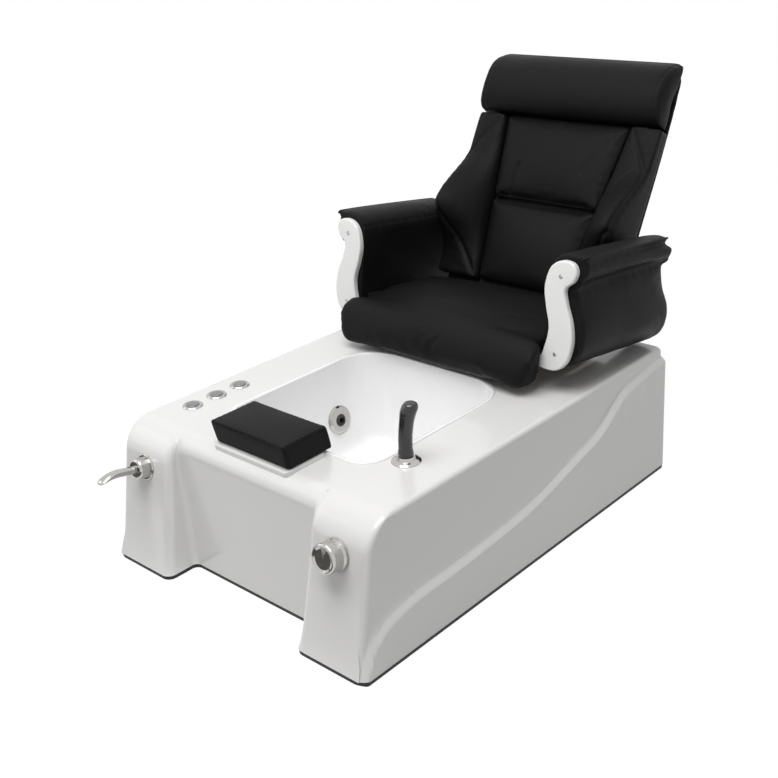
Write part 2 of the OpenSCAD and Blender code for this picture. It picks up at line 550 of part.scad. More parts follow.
// ---- waste knob on the right leg ----
spindle_r = 5;
knob_z = 3 + gap;
module knob_escutcheon() color("silver") on_leg(1) plate_ring(spindle_r + fit);
module knob_housing() color("dimgray") on_leg(1) difference() {
    union() {
        translate([0, 0, -48]) cylinder(h = 48 - shell_t - nut_gap, r = nut_r);
        translate([0, 0, -10]) cylinder(h = 10 - spot_depth, r = neck_r);
        translate([0, -neck_r - 14, -40]) rotate([-90, 0, 0]) cylinder(h = 14, r = 5);
    }
    translate([0, 0, -42]) cylinder(h = 60, r = spindle_r + fit);
}
module drain_knob() color("silver") on_leg(1) {
    r = knob_d / 2;
    difference() {
        translate([0, 0, knob_z]) rotate_extrude() polygon(concat([[0, 0], [r, 0], [r, 3], [r - 2, 8]],
            [for (a = [0:15:90]) [r - 7 + 5 * cos(a), knob_l - 5 + 5 * sin(a)]],
            [[r - 12, knob_l - 2], [0, knob_l - 2]]));
        // Pointer recess: a sector sunk into the front face
        translate([0, 0, knob_z + knob_l - 7]) linear_extrude(20) polygon([[0, 0], [-8, r - 9], [8, r - 9]]);
        for (a = [0:30:330]) rotate([0, 0, a]) translate([r + 3, 0, knob_z + 9]) cylinder(h = knob_l, r = 4);
    }
    translate([0, 0, -38]) cylinder(h = 38 + knob_z + 2, r = spindle_r);
}

// ---- push buttons and hand shower on the deck ----
bezel_r = bezel_d / 2;
barrel_r = bezel_r - 5.5;
button_r = bezel_r - 7.5;
button_foot = 16;                 // a button at rest reaches this far under the deck
button_x = -(base_w / 2 - 80);
function button_y(k) = front_y + 203 + k * button_pitch;
module on_button(k) translate([button_x, button_y(k), deck_h]) children();
module button_bodies() color("silver") for (k = [0:2]) on_button(k) difference() {
    union() {
        rotate_extrude() polygon([[0, 0], [bezel_r, 0], [bezel_r, 1.5], [bezel_r - 2, 3.5], [0, 3.5]]);
        translate([0, 0, -44]) cylinder(h = 46, r = barrel_r);
        translate([0, 0, -shell_t - 8]) cylinder(h = 7.7, r = barrel_r + 6, $fn = 6);
    }
    translate([0, 0, -button_foot - button_travel - 1]) cylinder(h = 40, r = button_r + fit);
}
module push_button(k) color("lightgray") on_button(k) translate([0, 0, -button_foot]) rotate_extrude()
    polygon([[0, 0], [button_r, 0], [button_r, 20], [button_r - 1.5, 21.5], [button_r * 0.6, 22.2], [0, 22.4]]);
module push_button_front() push_button(0);
module push_button_middle() push_button(1);
module push_button_rear() push_button(2);

shower_x = base_w / 2 - 125;
shower_y = front_y + 284;
socket_r = shower_d / 2 + 2.5;
spigot_r = shower_d / 2 - 2.5;
module shower_socket() color("silver") translate([shower_x, shower_y, deck_h]) difference() {
    union() {
        rotate_extrude() polygon([[0, 0], [shower_d + 1, 0], [shower_d + 1, 1.5],
            [shower_d / 2 + 11, 4], [shower_d / 2 + 5, 6], [shower_d / 2 + 3, 13], [0, 13]]);
        translate([0, 0, -50]) cylinder(h = 52, r = socket_r);
        translate([0, 0, -shell_t - 9]) cylinder(h = 8.7, r = socket_r + 7, $fn = 6);
    }
    translate([0, 0, -60]) cylinder(h = 100, r = spigot_r + fit);
}
// Handle: a tapered grip that leans over at the top into a rounded head
shower_path = [[13 + gap, 0, 1], [20, 0, 1.02], [26, 0, 0.96], [50, 0.5, 0.93], [72, 2, 0.95], [90, 4, 1],
    [103, 6, 1.1], [112, 8, 1.12], [119, 9, 1], [123.5, 9.5, 0.72], [125, 9.6, 0.3]];
function grip(p) = let (c = p[1] * [0.6, 0.8], r = p[2] * shower_d / 2)
    [for (k = [0:19]) [c[0] + r * cos(18 * k), c[1] + r * sin(18 * k), p[0] < 20 ? p[0] : p[0] * shower_h / 125]];
module hand_shower() color("dimgray") translate([shower_x, shower_y, deck_h]) {
    skin([for (p = shower_path) grip(p)]);
    translate([0, 0, -40]) cylinder(h = 55, r = spigot_r);
}

// ---- footrest ----
plinth_h = 6;
plinth_y = front_y + 103;
plinth_l = basin_front - rim_w - 3 - 103;
pad_y = front_y + 107 + pad_d / 2;
// Underside of the plinth: it follows the deck's round in front and then lies flat
deck_round = [for (i = [low_rows + 3:low_rows + arc_rows])
    let (z = front_row(i, deck_h)) [recess_y(z, 0, deck_h), z]];
module footrest_plinth() color("whitesmoke") intersection() {
    translate([-pad_w / 2 - 20, 0, 0]) rotate([90, 0, 90]) linear_extrude(pad_w + 40) polygon(concat(
        deck_round, [[plinth_y + plinth_l, deck_h], [plinth_y + plinth_l, deck_h + plinth_h],
        [plinth_y + 4, deck_h + plinth_h], [plinth_y, deck_h + plinth_h - 4]]));
    translate([0, plinth_y + plinth_l / 2, 0]) linear_extrude(deck_h + 40)
        polygon(round_rect(pad_w + 12, plinth_l, 14, 14));
}
module footrest_pad() color("black") translate([0, pad_y, deck_h + plinth_h + gap])
    skin(cushion(stepped(round_rect(pad_w, pad_d, 12, 12, 3)), 0, pad_h - 3, 9, 3, 2));

// ---- seat slide ----
rail_t = 2.5;
rail_w = 34;
rail_h = 10.5;
rail_slot = 15;
runner_l = 240;
runner_front = front_y + seat_front + 45;
foot_h = rail_h - 2 * rail_t - 2 * gap;
runner_top = rail_h + 3.5;
module rail_shape() difference() {
    translate([-rail_w / 2, 0]) square([rail_w, rail_h]);
    translate([-rail_w / 2 + rail_t, rail_t]) square([rail_w - 2 * rail_t, rail_h - 2 * rail_t]);
    translate([-rail_slot / 2, rail_t]) square([rail_slot, rail_h]);
}
module runner_shape() {
    translate([-rail_w / 2 + rail_t + gap, rail_t + gap]) square([rail_w - 2 * rail_t - 2 * gap, foot_h]);
    translate([-rail_slot / 2 + gap, rail_t + gap]) square([rail_slot - 2 * gap, runner_top - rail_t - gap]);
    translate([-rail_w / 2, runner_top - rail_t]) square([rail_w, rail_t]);
}
module along_deck(x, y, l) translate([x, y + l, deck_h]) rotate([90, 0, 0]) linear_extrude(l) children();
module slide_rails() color("silver") for (x = [-rail_x, rail_x])
    along_deck(x, rail_front, rail_back - rail_front) rail_shape();
module slide_runners() color("gray") for (x = [-rail_x, rail_x])
    along_deck(x, runner_front, runner_l) runner_shape();

// ---- seat frame and board ----
bar_t = 4;
bar_w = 40;
bar_spots = [40, 225];            // where the cross bars start, behind the arm caps
tab_t = 3;
tab_h = 45;
hinge_d = seat_d + 13;            // hinge axis of the backrest in seat_space
hinge_w = 10;
hinge_x = 150;
hinge_pin_r = 4;
ear_t = 5;
ear_r = 12;
// Y and Z of a point of seat_space at distance d behind the caps and height w
function seat_yz(d, w) = [front_y + seat_front + d * cos(seat_tilt) + w * sin(seat_tilt),
    deck_h + seat_rise - d * sin(seat_tilt) + w * cos(seat_tilt)];
module wedge(x, t) translate([x - t / 2, 0, 0]) rotate([90, 0, 90]) linear_extrude(t) children();
module seat_frame() color("dimgray") {
    top = deck_h + runner_top;
    y0 = runner_front;
    y1 = runner_front + runner_l;
    for (x = [-rail_x, rail_x]) {
        wedge(x, bar_t) polygon([[y0, top], [y1, top], seat_yz(seat_d + 5, -bar_t), seat_yz(10, -bar_t)]);
        wedge(x, 30) polygon([[y0, top], [y1, top], [y1, top + bar_t], [y0, top + bar_t]]);
        wedge(x, 30)
            polygon([seat_yz(10, -bar_t), seat_yz(seat_d + 5, -bar_t), seat_yz(seat_d + 5, 0), seat_yz(10, 0)]);
    }
    seat_space() {
        for (d = bar_spots) {
            translate([-seat_w / 2 + gap, d, -bar_t]) cube([seat_w - 2 * gap, bar_w, bar_t]);
            both_sides() translate([seat_w / 2 - gap - tab_t, d, -bar_t]) cube([tab_t, bar_w, bar_t + tab_h]);
        }
        both_sides() translate([hinge_x, 0, 0]) rotate([90, 0, 90]) linear_extrude(ear_t) difference() {
            union() {
                polygon([[bar_spots[1], -bar_t], [hinge_d, hinge_w - ear_r], [hinge_d, hinge_w + ear_r],
                    [hinge_d - 8, hinge_w + 9], [bar_spots[1] + bar_w + 2, 0], [bar_spots[1], 0]]);
                translate([hinge_d, hinge_w]) circle(r = ear_r);
            }
            translate([hinge_d, hinge_w]) circle(r = hinge_pin_r + fit);
        }
    }
}
board_half = seat_w / 2 - 6;
board_rear = seat_d - 25;
apron_h = 48;
module seat_board() color("burlywood") seat_space() {
    translate([-board_half, -4, 0]) cube([2 * board_half, board_rear + 4, seat_board_t]);
    translate([-board_half + 36, -4, -apron_h]) cube([2 * board_half - 72, 10, apron_h]);
}

// ---- seat cushions ----
cushion_l = seat_d - 6;           // the cushion runs from just before the caps to the foot of the backrest
// Height of the seat's top at distance d behind the caps, x from the middle
function seat_face(x, d) = mix(34, seat_h - 8, min(1, d / 120)) * (1 - 0.1 * (x / board_half)^4)
    + 8 * (1 - (x / board_half)^2) * (1 - ((d - 150) / 170)^2);
module seat_cushion() color("black") seat_space() translate([0, cushion_l / 2 - 4, seat_board_t + gap])
    let (o = stepped(round_rect(2 * board_half, cushion_l, 22, 30, 3)), h = cushion_l / 2 - 4)
    skin(concat([at([for (p = o) p / 2], 0), at(shrink(o, 6), 0), at(shrink(o, 1), 6)],
        [for (a = [0:22.5:90]) [for (p = shrink(drawn(o, 3), 16 * (1 - cos(a))))
            [p[0], p[1], 12 + (seat_face(p[0], p[1] + h) - 12) * sin(a)]]],
        [for (f = [0.85, 0.65, 0.4, 0.15]) [for (p = shrink(o, 16)) [p[0] * f, p[1] * f,
            seat_face(p[0] * f, p[1] * f + h) + 2 * (1 - f)]]]));
// Front roll: section across the seat, as [distance behind the caps, height]
roll_half = seat_w / 2 + 11;
roll_section = [[-4.5, -50], [-14, -56], [-30, -56], [-43, -46], [-48, -20], [-48, 10], [-42, 32], [-28, 44],
    [-12, 46], [-4.5, 38], [-4.5, -6]];
// Ring at x of a roll whose section c shrinks about its own middle over the last e of its half length l
function roll_ring(c, x, l, e, pull) =
    let (m = middle([for (p = c) [p[0], p[1], 0]]), u = max(0, (abs(x) - l + e) / e),
         f = sqrt(max(0, 1 - u^2)) * (1 - pull) + pull)
    [for (p = c) [x, p[0] < -5 ? m[0] + (p[0] - m[0]) * f : p[0], m[1] + (p[1] - m[1]) * f]];
function roll_spots(l, e) = concat([for (a = [90:-18:0]) -(l - e) - e * sin(a)], [-(l - e) / 2, 0, (l - e) / 2],
    [for (a = [0:18:90]) l - e + e * sin(a)]);
module seat_front_roll() color("black") seat_space()
    skin([for (x = roll_spots(roll_half, 20)) roll_ring(flip(roll_section), x, roll_half, 20, 0.72)]);

// ---- arms, written for the right arm: [outwards from its inner side, height over the seat board] ----
// The padded top ends in a lip over the roll, under which a groove runs along the arm
arm_curve = [[6, -8], [0.6, 4], [0, 45], [0, 90], [-4, 140], [-5, 185], [0, 218], [18, 238], [45, 245],
    [70, 244], [90, 241], [80, 227], [87, 212], [84, 195], [70, 180], [65, 162], [74, 128], [90, 90], [92, 52],
    [78, 16], [42, -8]];
cap_curve = [[-5, -7], [4, 28], [12, 60], [13, 88], [3, 125], [-4, 165], [4, 203], [20, 222], [42, 229],
    [64, 224], [73, 206], [66, 186], [48, 168], [54, 137], [70, 95], [75, 50], [63, 9], [36, -11]];
cap_screw_x = 36;
cap_screw_z = [25, 194];
cap_screw_r = 2;
arm_spread = 6;                   // the arm widens by this towards the rear
groove_rise = 14;                 // its groove climbs by this towards the rear
groove_z = 170;                   // height of the groove at the front
// Lift of a point of the section at height z, at the rear end
function groove_lift(x, z) = x < 55 ? 0 : groove_rise * max(0, 1 - abs(z - groove_z) / 50);
// Section of the arm with fullness f at place y, which is the share k of its length
function arm_ring(y, f, k) = [for (p = loop_curve(arm_curve, 2)) let (z = p[1] + k * groove_lift(p[0], p[1]))
    [seat_w / 2 + (p[0] > 20 ? 20 + (p[0] - 20) * f + k * arm_spread : p[0]), y,
     z > 200 ? 200 + (z - 200) * f : z * f]];
// Shares of the arm's length and its fullness there
arm_spots = [[0, 0.9], [0.008, 0.97], [0.027, 1], [0.16, 1.02], [0.373, 1.03], [0.613, 1.02], [0.8, 1.01],
    [0.933, 1], [0.973, 0.97], [1, 0.9]];
arm_heart = [10, 155];            // point of the section that sees all of it
module arm_right() color("black") seat_space() difference() {
    run = arm_l - cap_t;
    translate([0, cap_t + gap, 0]) skin([for (a = arm_spots) arm_ring(a[0] * run, a[1], a[0])],
        [for (y = [0, run]) [seat_w / 2 + arm_heart[0], y, arm_heart[1]]]);
    cap_screw_places() translate([0, 0, -36]) cylinder(h = 40, r = cap_screw_r + fit);
}
module arm_left() mirror([1, 0, 0]) arm_right();
// Holes of the right cap, with Z pointing out of its face
module cap_screw_places() for (z = cap_screw_z)
    translate([seat_w / 2 + cap_screw_x, 0, z]) rotate([90, 0, 0]) children();
module arm_cap_right() color("white") seat_space() difference() {
    translate([seat_w / 2, cap_t, 0]) rotate([90, 0, 0]) linear_extrude(cap_t) polygon(loop_curve(cap_curve, 3));
    cap_screw_places() {
        translate([0, 0, -cap_t - 1]) cylinder(h = cap_t + 2, r = cap_screw_r + 0.2);
        translate([0, 0, -3]) cylinder(h = 4, r = 5);
    }
}
module arm_cap_left() mirror([1, 0, 0]) arm_cap_right();
module cap_screws() color("gray") seat_space() both_sides() cap_screw_places() {
    translate([0, 0, -2.9]) rotate_extrude() polygon([[0, 0], [4.8, 0], [4.8, 1.2], [3, 2.6], [0, 2.9]]);
    translate([0, 0, -34]) cylinder(h = 32, r = cap_screw_r);
}

// ---- backrest ----
board_q = 22;                     // the board's front lies this far behind the front plane
back_rear = board_q + back_board_t;
board_low = -38;
axis_q = (seat_d - hinge_d) * -cos(back_recline) + (seat_top - hinge_w) * sin(back_recline);
axis_s = (hinge_d - seat_d) * sin(back_recline) - (seat_top - hinge_w) * cos(back_recline);
module back_board() color("burlywood") back_space() translate([0, back_rear, (back_l - 14 + board_low) / 2])
    rotate([90, 0, 0]) linear_extrude(back_board_t)
    polygon(round_rect(2 * (back_half_w - 35), back_l - 14 - board_low, 20, 40));
module back_brackets() color("dimgray") back_space() both_sides() {
    translate([hinge_x + ear_t + gap, 0, 0]) rotate([90, 0, 90]) linear_extrude(ear_t) difference() {
        union() {
            polygon([[back_rear + gap, -4], [back_rear + 14, -4], [axis_q + ear_r, axis_s],
                [axis_q - ear_r, axis_s], [axis_q - ear_r, board_low - 1], [back_rear + gap, board_low - 1]]);
            translate([axis_q, axis_s]) circle(r = ear_r);
        }
        translate([axis_q, axis_s]) circle(r = hinge_pin_r + fit);
    }
    translate([hinge_x + ear_t + gap, back_rear + gap, board_low + 2]) cube([28, 3, -6 - board_low]);
}
module hinge_pins() color("silver") seat_space() both_sides() translate([hinge_x - 6, hinge_d, hinge_w])
    rotate([0, 90, 0]) { cylinder(h = 24, r = hinge_pin_r); cylinder(h = 5, r = 7); }

// Half width of the middle pads at height s
function pad_half(s) = mix(128, 180, s / roll_s);
// Middle pad from s0 to s1: a rounded rectangle whose sides follow pad_half
module back_pad(s0, s1, t, r, crown) back_space() translate([0, 0, (s0 + s1) / 2]) rotate([90, 0, 0])
    let (w = pad_half(s1), o = [for (p = stepped(round_rect(2 * w, s1 - s0, 10, 10, 3)))
        [p[0] * pad_half((s0 + s1) / 2 + p[1]) / w, p[1]]])
    skin(cushion(o, -board_q + gap, t, r, crown, 3));
module lumbar_pad() color("black") back_pad(2, lumbar_s - 1, 4, 12, 14);
module upper_pad() color("black") back_pad(lumbar_s + 1, roll_s - 2, 4, 12, 12);
// Head roll: its section as [place through the backrest, share of its height]
head_h = back_l - roll_s;
head_end = 26;                    // its section shrinks over this length at each end
head_section = [[board_q - gap, 0.013], [0, 0], [-18, 0.026], [-36, 0.158], [-44, 0.342], [-42, 0.553],
    [-30, 0.763], [-12, 0.921], [4, 1], [board_q - gap, 0.974]];
// Width of the roll at shares of its height: a waist under flared top corners
head_flare = [[0, 0.965], [0.45, 0.95], [0.8, 0.975], [1, 1]];
module head_roll() color("black") back_space() skin([for (x = roll_spots(back_half_w, head_end))
    let (u = max(0, (abs(x) - back_half_w + head_end) / head_end), f = 0.55 + 0.45 * sqrt(1 - u^2))
    [for (p = flip(head_section)) let (t = 0.5 + (p[1] - 0.5) * (0.94 + 0.06 * f))
        [x * curve(head_flare, t), p[0] > 5 ? p[0] : 5 + (p[0] - 5) * f, roll_s + t * head_h]]]);
// Wing: how far it stands proud at shares of its height, and the shares at which it has a ring
wing_l = roll_s - 4;
wing_proud = [[0, 92], [0.33, 97], [0.44, 95], [0.545, 82], [0.65, 64], [0.76, 42], [0.87, 22], [0.95, 14],
    [1, 12]];
wing_shares = [0.094, 0.21, 0.33, 0.44, 0.545, 0.634, 0.716, 0.8, 0.88];
wing_foot = 12;                   // rounding at the wing's foot
wing_top = 21;                    // and at its top
wing_rings = concat([0, wing_foot / 4, wing_foot], wing_shares * wing_l,
    [wing_l - wing_top, wing_l - 6, wing_l]);
function wing_ring(s) =
    let (e = s < wing_foot ? 1 - s / wing_foot : max(0, 1 - (wing_l - s) / wing_top) * 0.4, f = 1 - 0.25 * e^2,
         p = curve(wing_proud, s / wing_l) * f, xi = pad_half(s) + 1.5,
         xo = mix(back_half_w - 9, back_half_w - 6, s / wing_l) - 6 * e^2, k = xo - xi)
    [[xi, board_q - gap, s], [xi, 0, s], [xi + 0.12 * k, -2 - 0.1 * p, s], [xi + 0.3 * k, -4 - 0.3 * p, s],
     [xi + 0.5 * k, -4 - 0.62 * p, s], [xi + 0.68 * k, -3 - 0.88 * p, s], [xi + 0.82 * k, -2 - p, s],
     [xi + 0.94 * k, -0.93 * p, s], [xo, -0.75 * p, s], [xo + 1, -0.35 * p, s], [xo, 10, s],
     [xo - 1, back_rear - 6, s], [xo - 6, back_rear - 0.5, s], [back_half_w - 34, back_rear - 0.5, s],
     [back_half_w - 34, board_q - gap, s]];
wing_heart = [25, 5];             // inwards from the side and behind the front plane: sees the whole section
module wing_right() color("black") back_space() skin([for (s = wing_rings) wing_ring(s)],
    [for (s = [wing_rings[0], wing_rings[len(wing_rings) - 1]]) [back_half_w - wing_heart[0], wing_heart[1], s]]);
module wing_left() mirror([1, 0, 0]) wing_right();
module back_cover() color("black") back_space() translate([0, back_rear + gap, back_l / 2]) rotate([-90, 0, 0])
    skin(cushion(stepped(round_rect(2 * (back_half_w - 8), back_l - 6, 24, 30, 3)), 0, 22, 20, 18));

base_shell();
base_board();
base_frame();
rear_panel();
panel_screws();
water_inlets();
cable_gland();
basin();
drain_flange();
drain_plug();
waste_pipe();
jet_body();
jet_nozzle();
jet_motor();
mixer_body();
mixer_escutcheon();
mixer_cap();
mixer_lever();
lever_pin();
knob_escutcheon();
knob_housing();
drain_knob();
button_bodies();
push_button_front();
push_button_middle();
push_button_rear();
shower_socket();
hand_shower();
footrest_plinth();
footrest_pad();
slide_rails();
slide_runners();
seat_frame();
seat_board();
seat_cushion();
seat_front_roll();
arm_left();
arm_right();
arm_cap_left();
arm_cap_right();
cap_screws();
back_board();
back_brackets();
hinge_pins();
lumbar_pad();
upper_pad();
head_roll();
wing_left();
wing_right();
back_cover();
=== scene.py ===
"""Looks of a pedicure spa chair: a moulded foot spa base under an upholstered, reclining seat.

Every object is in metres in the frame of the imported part: the floor is z = 0, the sitter faces -Y, and the
hand shower stands on the +X side. Shapes are worked out in millimetres and scaled once, when a mesh is made.
"""

import json
import logging
import math
from dataclasses import dataclass
from enum import Enum
from typing import Any, Callable, Sequence

import bpy
import numpy as np
from mathutils import Matrix, Vector

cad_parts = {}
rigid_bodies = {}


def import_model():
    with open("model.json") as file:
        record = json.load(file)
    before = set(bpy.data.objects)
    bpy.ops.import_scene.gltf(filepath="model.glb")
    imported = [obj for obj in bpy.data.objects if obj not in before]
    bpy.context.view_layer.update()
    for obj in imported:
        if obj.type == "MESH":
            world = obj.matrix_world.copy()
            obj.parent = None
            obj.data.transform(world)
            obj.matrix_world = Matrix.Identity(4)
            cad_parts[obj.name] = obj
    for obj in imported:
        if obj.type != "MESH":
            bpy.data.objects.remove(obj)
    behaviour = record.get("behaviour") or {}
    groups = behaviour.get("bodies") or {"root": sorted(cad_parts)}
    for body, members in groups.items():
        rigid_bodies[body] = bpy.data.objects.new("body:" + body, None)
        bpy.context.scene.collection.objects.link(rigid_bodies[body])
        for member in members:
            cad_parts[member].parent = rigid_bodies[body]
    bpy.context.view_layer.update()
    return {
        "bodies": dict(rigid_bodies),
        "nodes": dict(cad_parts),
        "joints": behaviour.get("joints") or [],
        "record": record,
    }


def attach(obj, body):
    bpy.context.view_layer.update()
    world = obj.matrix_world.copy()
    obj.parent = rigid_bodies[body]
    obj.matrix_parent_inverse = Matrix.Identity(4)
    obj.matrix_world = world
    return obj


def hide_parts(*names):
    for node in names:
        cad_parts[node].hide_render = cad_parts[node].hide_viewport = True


LOG = logging.getLogger("spa_chair")
MM = 0.001
Array = np.ndarray
Number = float | int


# ---------------------------------------------------------------------------------------------- node materials
class Wire:
    """A node's output socket that can be used in arithmetic."""

    def __init__(self, paint: "Paint", socket: bpy.types.NodeSocket) -> None:
        """Keeps the paint that the socket belongs to."""
        self.paint = paint
        self.socket = socket

    def _math(self, operation: str, *values: "Wire | Number") -> "Wire":
        """Adds one Math node.

        Args:
            operation: Name of the Math node's operation.
            values: The node's inputs in order.

        Returns:
            The result as a wire.
        """
        return self.paint.node("ShaderNodeMath", {"operation": operation}, dict(enumerate(values)))

    def __add__(self, other: "Wire | Number") -> "Wire":
        """Sum."""
        return self._math("ADD", self, other)

    def __radd__(self, other: Number) -> "Wire":
        """Sum with a number on the left."""
        return self._math("ADD", other, self)

    def __rsub__(self, other: Number) -> "Wire":
        """Difference with a number on the left."""
        return self._math("SUBTRACT", other, self)

    def __mul__(self, other: "Wire | Number") -> "Wire":
        """Product."""
        return self._math("MULTIPLY", self, other)

    def __rmul__(self, other: Number) -> "Wire":
        """Product with a number on the left."""
        return self._math("MULTIPLY", other, self)

    def band(self, low: Number, high: Number) -> "Wire":
        """Smooth step: 0 below low, 1 above high."""
        settings = {"interpolation_type": "SMOOTHSTEP"}
        values = {"Value": self, "From Min": low, "From Max": high, "To Min": 0.0, "To Max": 1.0}
        return self.paint.node("ShaderNodeMapRange", settings, values)


class Paint:
    """A tree of nodes while it is built, for a material or for the world."""

    def __init__(self, name: str, owners: Any = None) -> None:
        """Starts a material, or a new one of the owners that are given, with an empty tree."""
        self.owner = (bpy.data.materials if owners is None else owners).new(name)
        self.owner.use_nodes = True
        self.tree = self.owner.node_tree
        self.tree.nodes.clear()

    def node(
        self,
        kind: str,
        settings: dict[str, Any] | None = None,
        values: dict[int | str, Any] | None = None,
        output: int | str = 0,
    ) -> Wire:
        """Adds any node.

        Args:
            kind: The node's type name.
            settings: Attributes that are set first.
            values: Values or wires for the input sockets, by name or number.
            output: The output socket to hand back.

        Returns:
            The chosen output as a wire.
        """
        made = self.tree.nodes.new(kind)
        for key, value in (settings or {}).items():
            setattr(made, key, value)
        for key, value in (values or {}).items():
            if isinstance(value, Wire):
                self.tree.links.new(value.socket, made.inputs[key])
            else:
                made.inputs[key].default_value = value
        return Wire(self, made.outputs[output])

    def place(self, stretch: tuple[float, float, float] = (1.0, 1.0, 1.0), turn: float = 0.0) -> Wire:
        """Object coordinates in metres, stretched and turned about Z.

        Args:
            stretch: Scale of the pattern along X, Y and Z.
            turn: Turn of the pattern in radians.

        Returns:
            The vector as a wire.
        """
        here = self.node("ShaderNodeTexCoord", output="Object")
        values = {"Vector": here, "Scale": stretch, "Rotation": (0.0, 0.0, turn)}
        return self.node("ShaderNodeMapping", {}, values)

    def noise(self, scale: float, detail: float = 3.0, roughness: float = 0.5, at: Wire | None = None) -> Wire:
        """Noise between 0 and 1 at a scale in features per metre."""
        values = {"Vector": at or self.place(), "Scale": scale, "Detail": detail, "Roughness": roughness}
        return self.node("ShaderNodeTexNoise", {}, values)

    def bent(self, scale: float, detail: float, reach: float) -> Wire:
        """Object coordinates pushed about by a coloured noise.

        Args:
            scale: Features of the noise per metre.
            detail: Its detail.
            reach: Longest push along each axis, in metres.

        Returns:
            The vector as a wire.
        """
        here = self.place()
        push = self.node("ShaderNodeTexNoise", {}, {"Vector": here, "Scale": scale, "Detail": detail}, "Color")
        push = self.node("ShaderNodeVectorMath", {"operation": "SCALE"}, {0: push, "Scale": reach})
        return self.node("ShaderNodeVectorMath", {"operation": "ADD"}, {0: here, 1: push})

    def cells(self, scale: float, feature: str = "DISTANCE_TO_EDGE", at: Wire | None = None) -> Wire:
        """Distance in a cell pattern at a scale in cells per metre."""
        values = {"Vector": at or self.place(), "Scale": scale}
        return self.node("ShaderNodeTexVoronoi", {"feature": feature}, values, "Distance")

    def blend(self, factor: "Wire | Number", first: Sequence[float], second: Sequence[float]) -> Wire:
        """Mixes two colours.

        Args:
            factor: 0 gives the first colour and 1 the second.
            first: First colour, linear.
            second: Second colour, linear.

        Returns:
            The colour as a wire.
        """
        values = {0: factor, 6: (*first, 1.0), 7: (*second, 1.0)}
        return self.node("ShaderNodeMix", {"data_type": "RGBA"}, values, 2)

    def bump(self, height: Wire, depth: float, strength: float = 1.0, onto: Wire | None = None) -> Wire:
        """Bump of a height field, depth metres deep, over an earlier normal."""
        values: dict[int | str, Any] = {"Height": height, "Distance": depth, "Strength": strength}
        if onto is not None:
            values["Normal"] = onto
        return self.node("ShaderNodeBump", {}, values)

    def close(self, shader: Wire, kind: str = "ShaderNodeOutputMaterial") -> Any:
        """Leads a shader to an output node of a kind and hands back the owner of the tree."""
        out = self.tree.nodes.new(kind)
        self.tree.links.new(shader.socket, out.inputs["Surface"])
        return self.owner

    def surface(self, values: dict[int | str, Any]) -> bpy.types.Material:
        """Adds the surface shader and closes the material.

        Args:
            values: Inputs of the Principled shader.

        Returns:
            The finished material.
        """
        return self.close(self.node("ShaderNodeBsdfPrincipled", {}, values))


class Slot(Enum):
    """Material slots of the part's record."""

    GELCOAT = "gelcoat"
    BASIN = "basin_gelcoat"
    CAP = "cap_plastic"
    WHITE = "white_plastic"
    BOARD = "black_board"
    BLACK = "black_plastic"
    BUTTON = "button_plastic"
    SHOWER = "shower_plastic"
    LEATHER = "black_leather"
    CHROME = "chrome"
    BRASS = "brass"
    FRAME = "frame_steel"
    SCREW = "screw_steel"
    PLYWOOD = "plywood"
    LINED = "lined_board"


def scaled(colour: Sequence[float], by: float) -> tuple[float, ...]:
    """A colour, lighter or darker by a factor."""
    return tuple(c * by for c in colour)


@dataclass(frozen=True)
class Gelcoat:
    """Sprayed gelcoat: a glossy skin with a faint orange peel and hardly any dirt."""

    name: str
    colour: tuple[float, float, float]
    roughness: float = 0.24
    coat: float = 0.35
    peel: float = 0.00004

    def material(self) -> bpy.types.Material:
        """Builds the material."""
        paint = Paint(self.name)
        haze = paint.noise(3.0, 2.0)
        peel = paint.noise(260.0, 2.0, 0.4)
        wave = paint.noise(14.0, 1.0)
        smooth = paint.bump(wave, 0.0004, 0.06)
        return paint.surface({
            "Base Color": paint.blend(haze.band(0.2, 0.9), self.colour, scaled(self.colour, 0.98)),
            "Roughness": self.roughness + 0.02 * paint.noise(30.0, 2.0),
            "Coat Weight": self.coat, "Coat Roughness": 0.06, "IOR": 1.5,
            "Normal": paint.bump(peel, self.peel, 0.6, smooth)})


@dataclass(frozen=True)
class Leather:
    """Soft coated leather: pebbled grain, finer pores, worn and matt patches."""

    name: str
    colour: tuple[float, float, float] = (0.0050, 0.0050, 0.0052)
    worn: tuple[float, float, float] = (0.0080, 0.0080, 0.0083)
    grain: float = 620.0
    roughness: float = 0.43

    def material(self) -> bpy.types.Material:
        """Builds the material."""
        paint = Paint(self.name)
        pebbles = paint.cells(self.grain, at=paint.bent(240.0, 2.0, 0.0016)).band(0.0, 0.16)
        pores = paint.noise(2600.0, 2.0)
        patches = paint.noise(7.0, 3.0)
        creases = paint.cells(46.0, at=paint.bent(22.0, 3.0, 0.03)).band(0.0, 0.035)
        grain = paint.bump(pebbles, 0.00022, 0.55)
        fine = paint.bump(pores, 0.00006, 0.35, grain)
        rough = self.roughness + 0.10 * patches.band(0.3, 0.75) + 0.06 * (1 - pebbles)
        return paint.surface({
            "Base Color": paint.blend(patches.band(0.45, 0.8) * 0.7, self.colour, self.worn),
            "Roughness": rough, "Specular IOR Level": 0.12, "IOR": 1.46,
            "Normal": paint.bump(creases, 0.0004, 0.22, fine)})


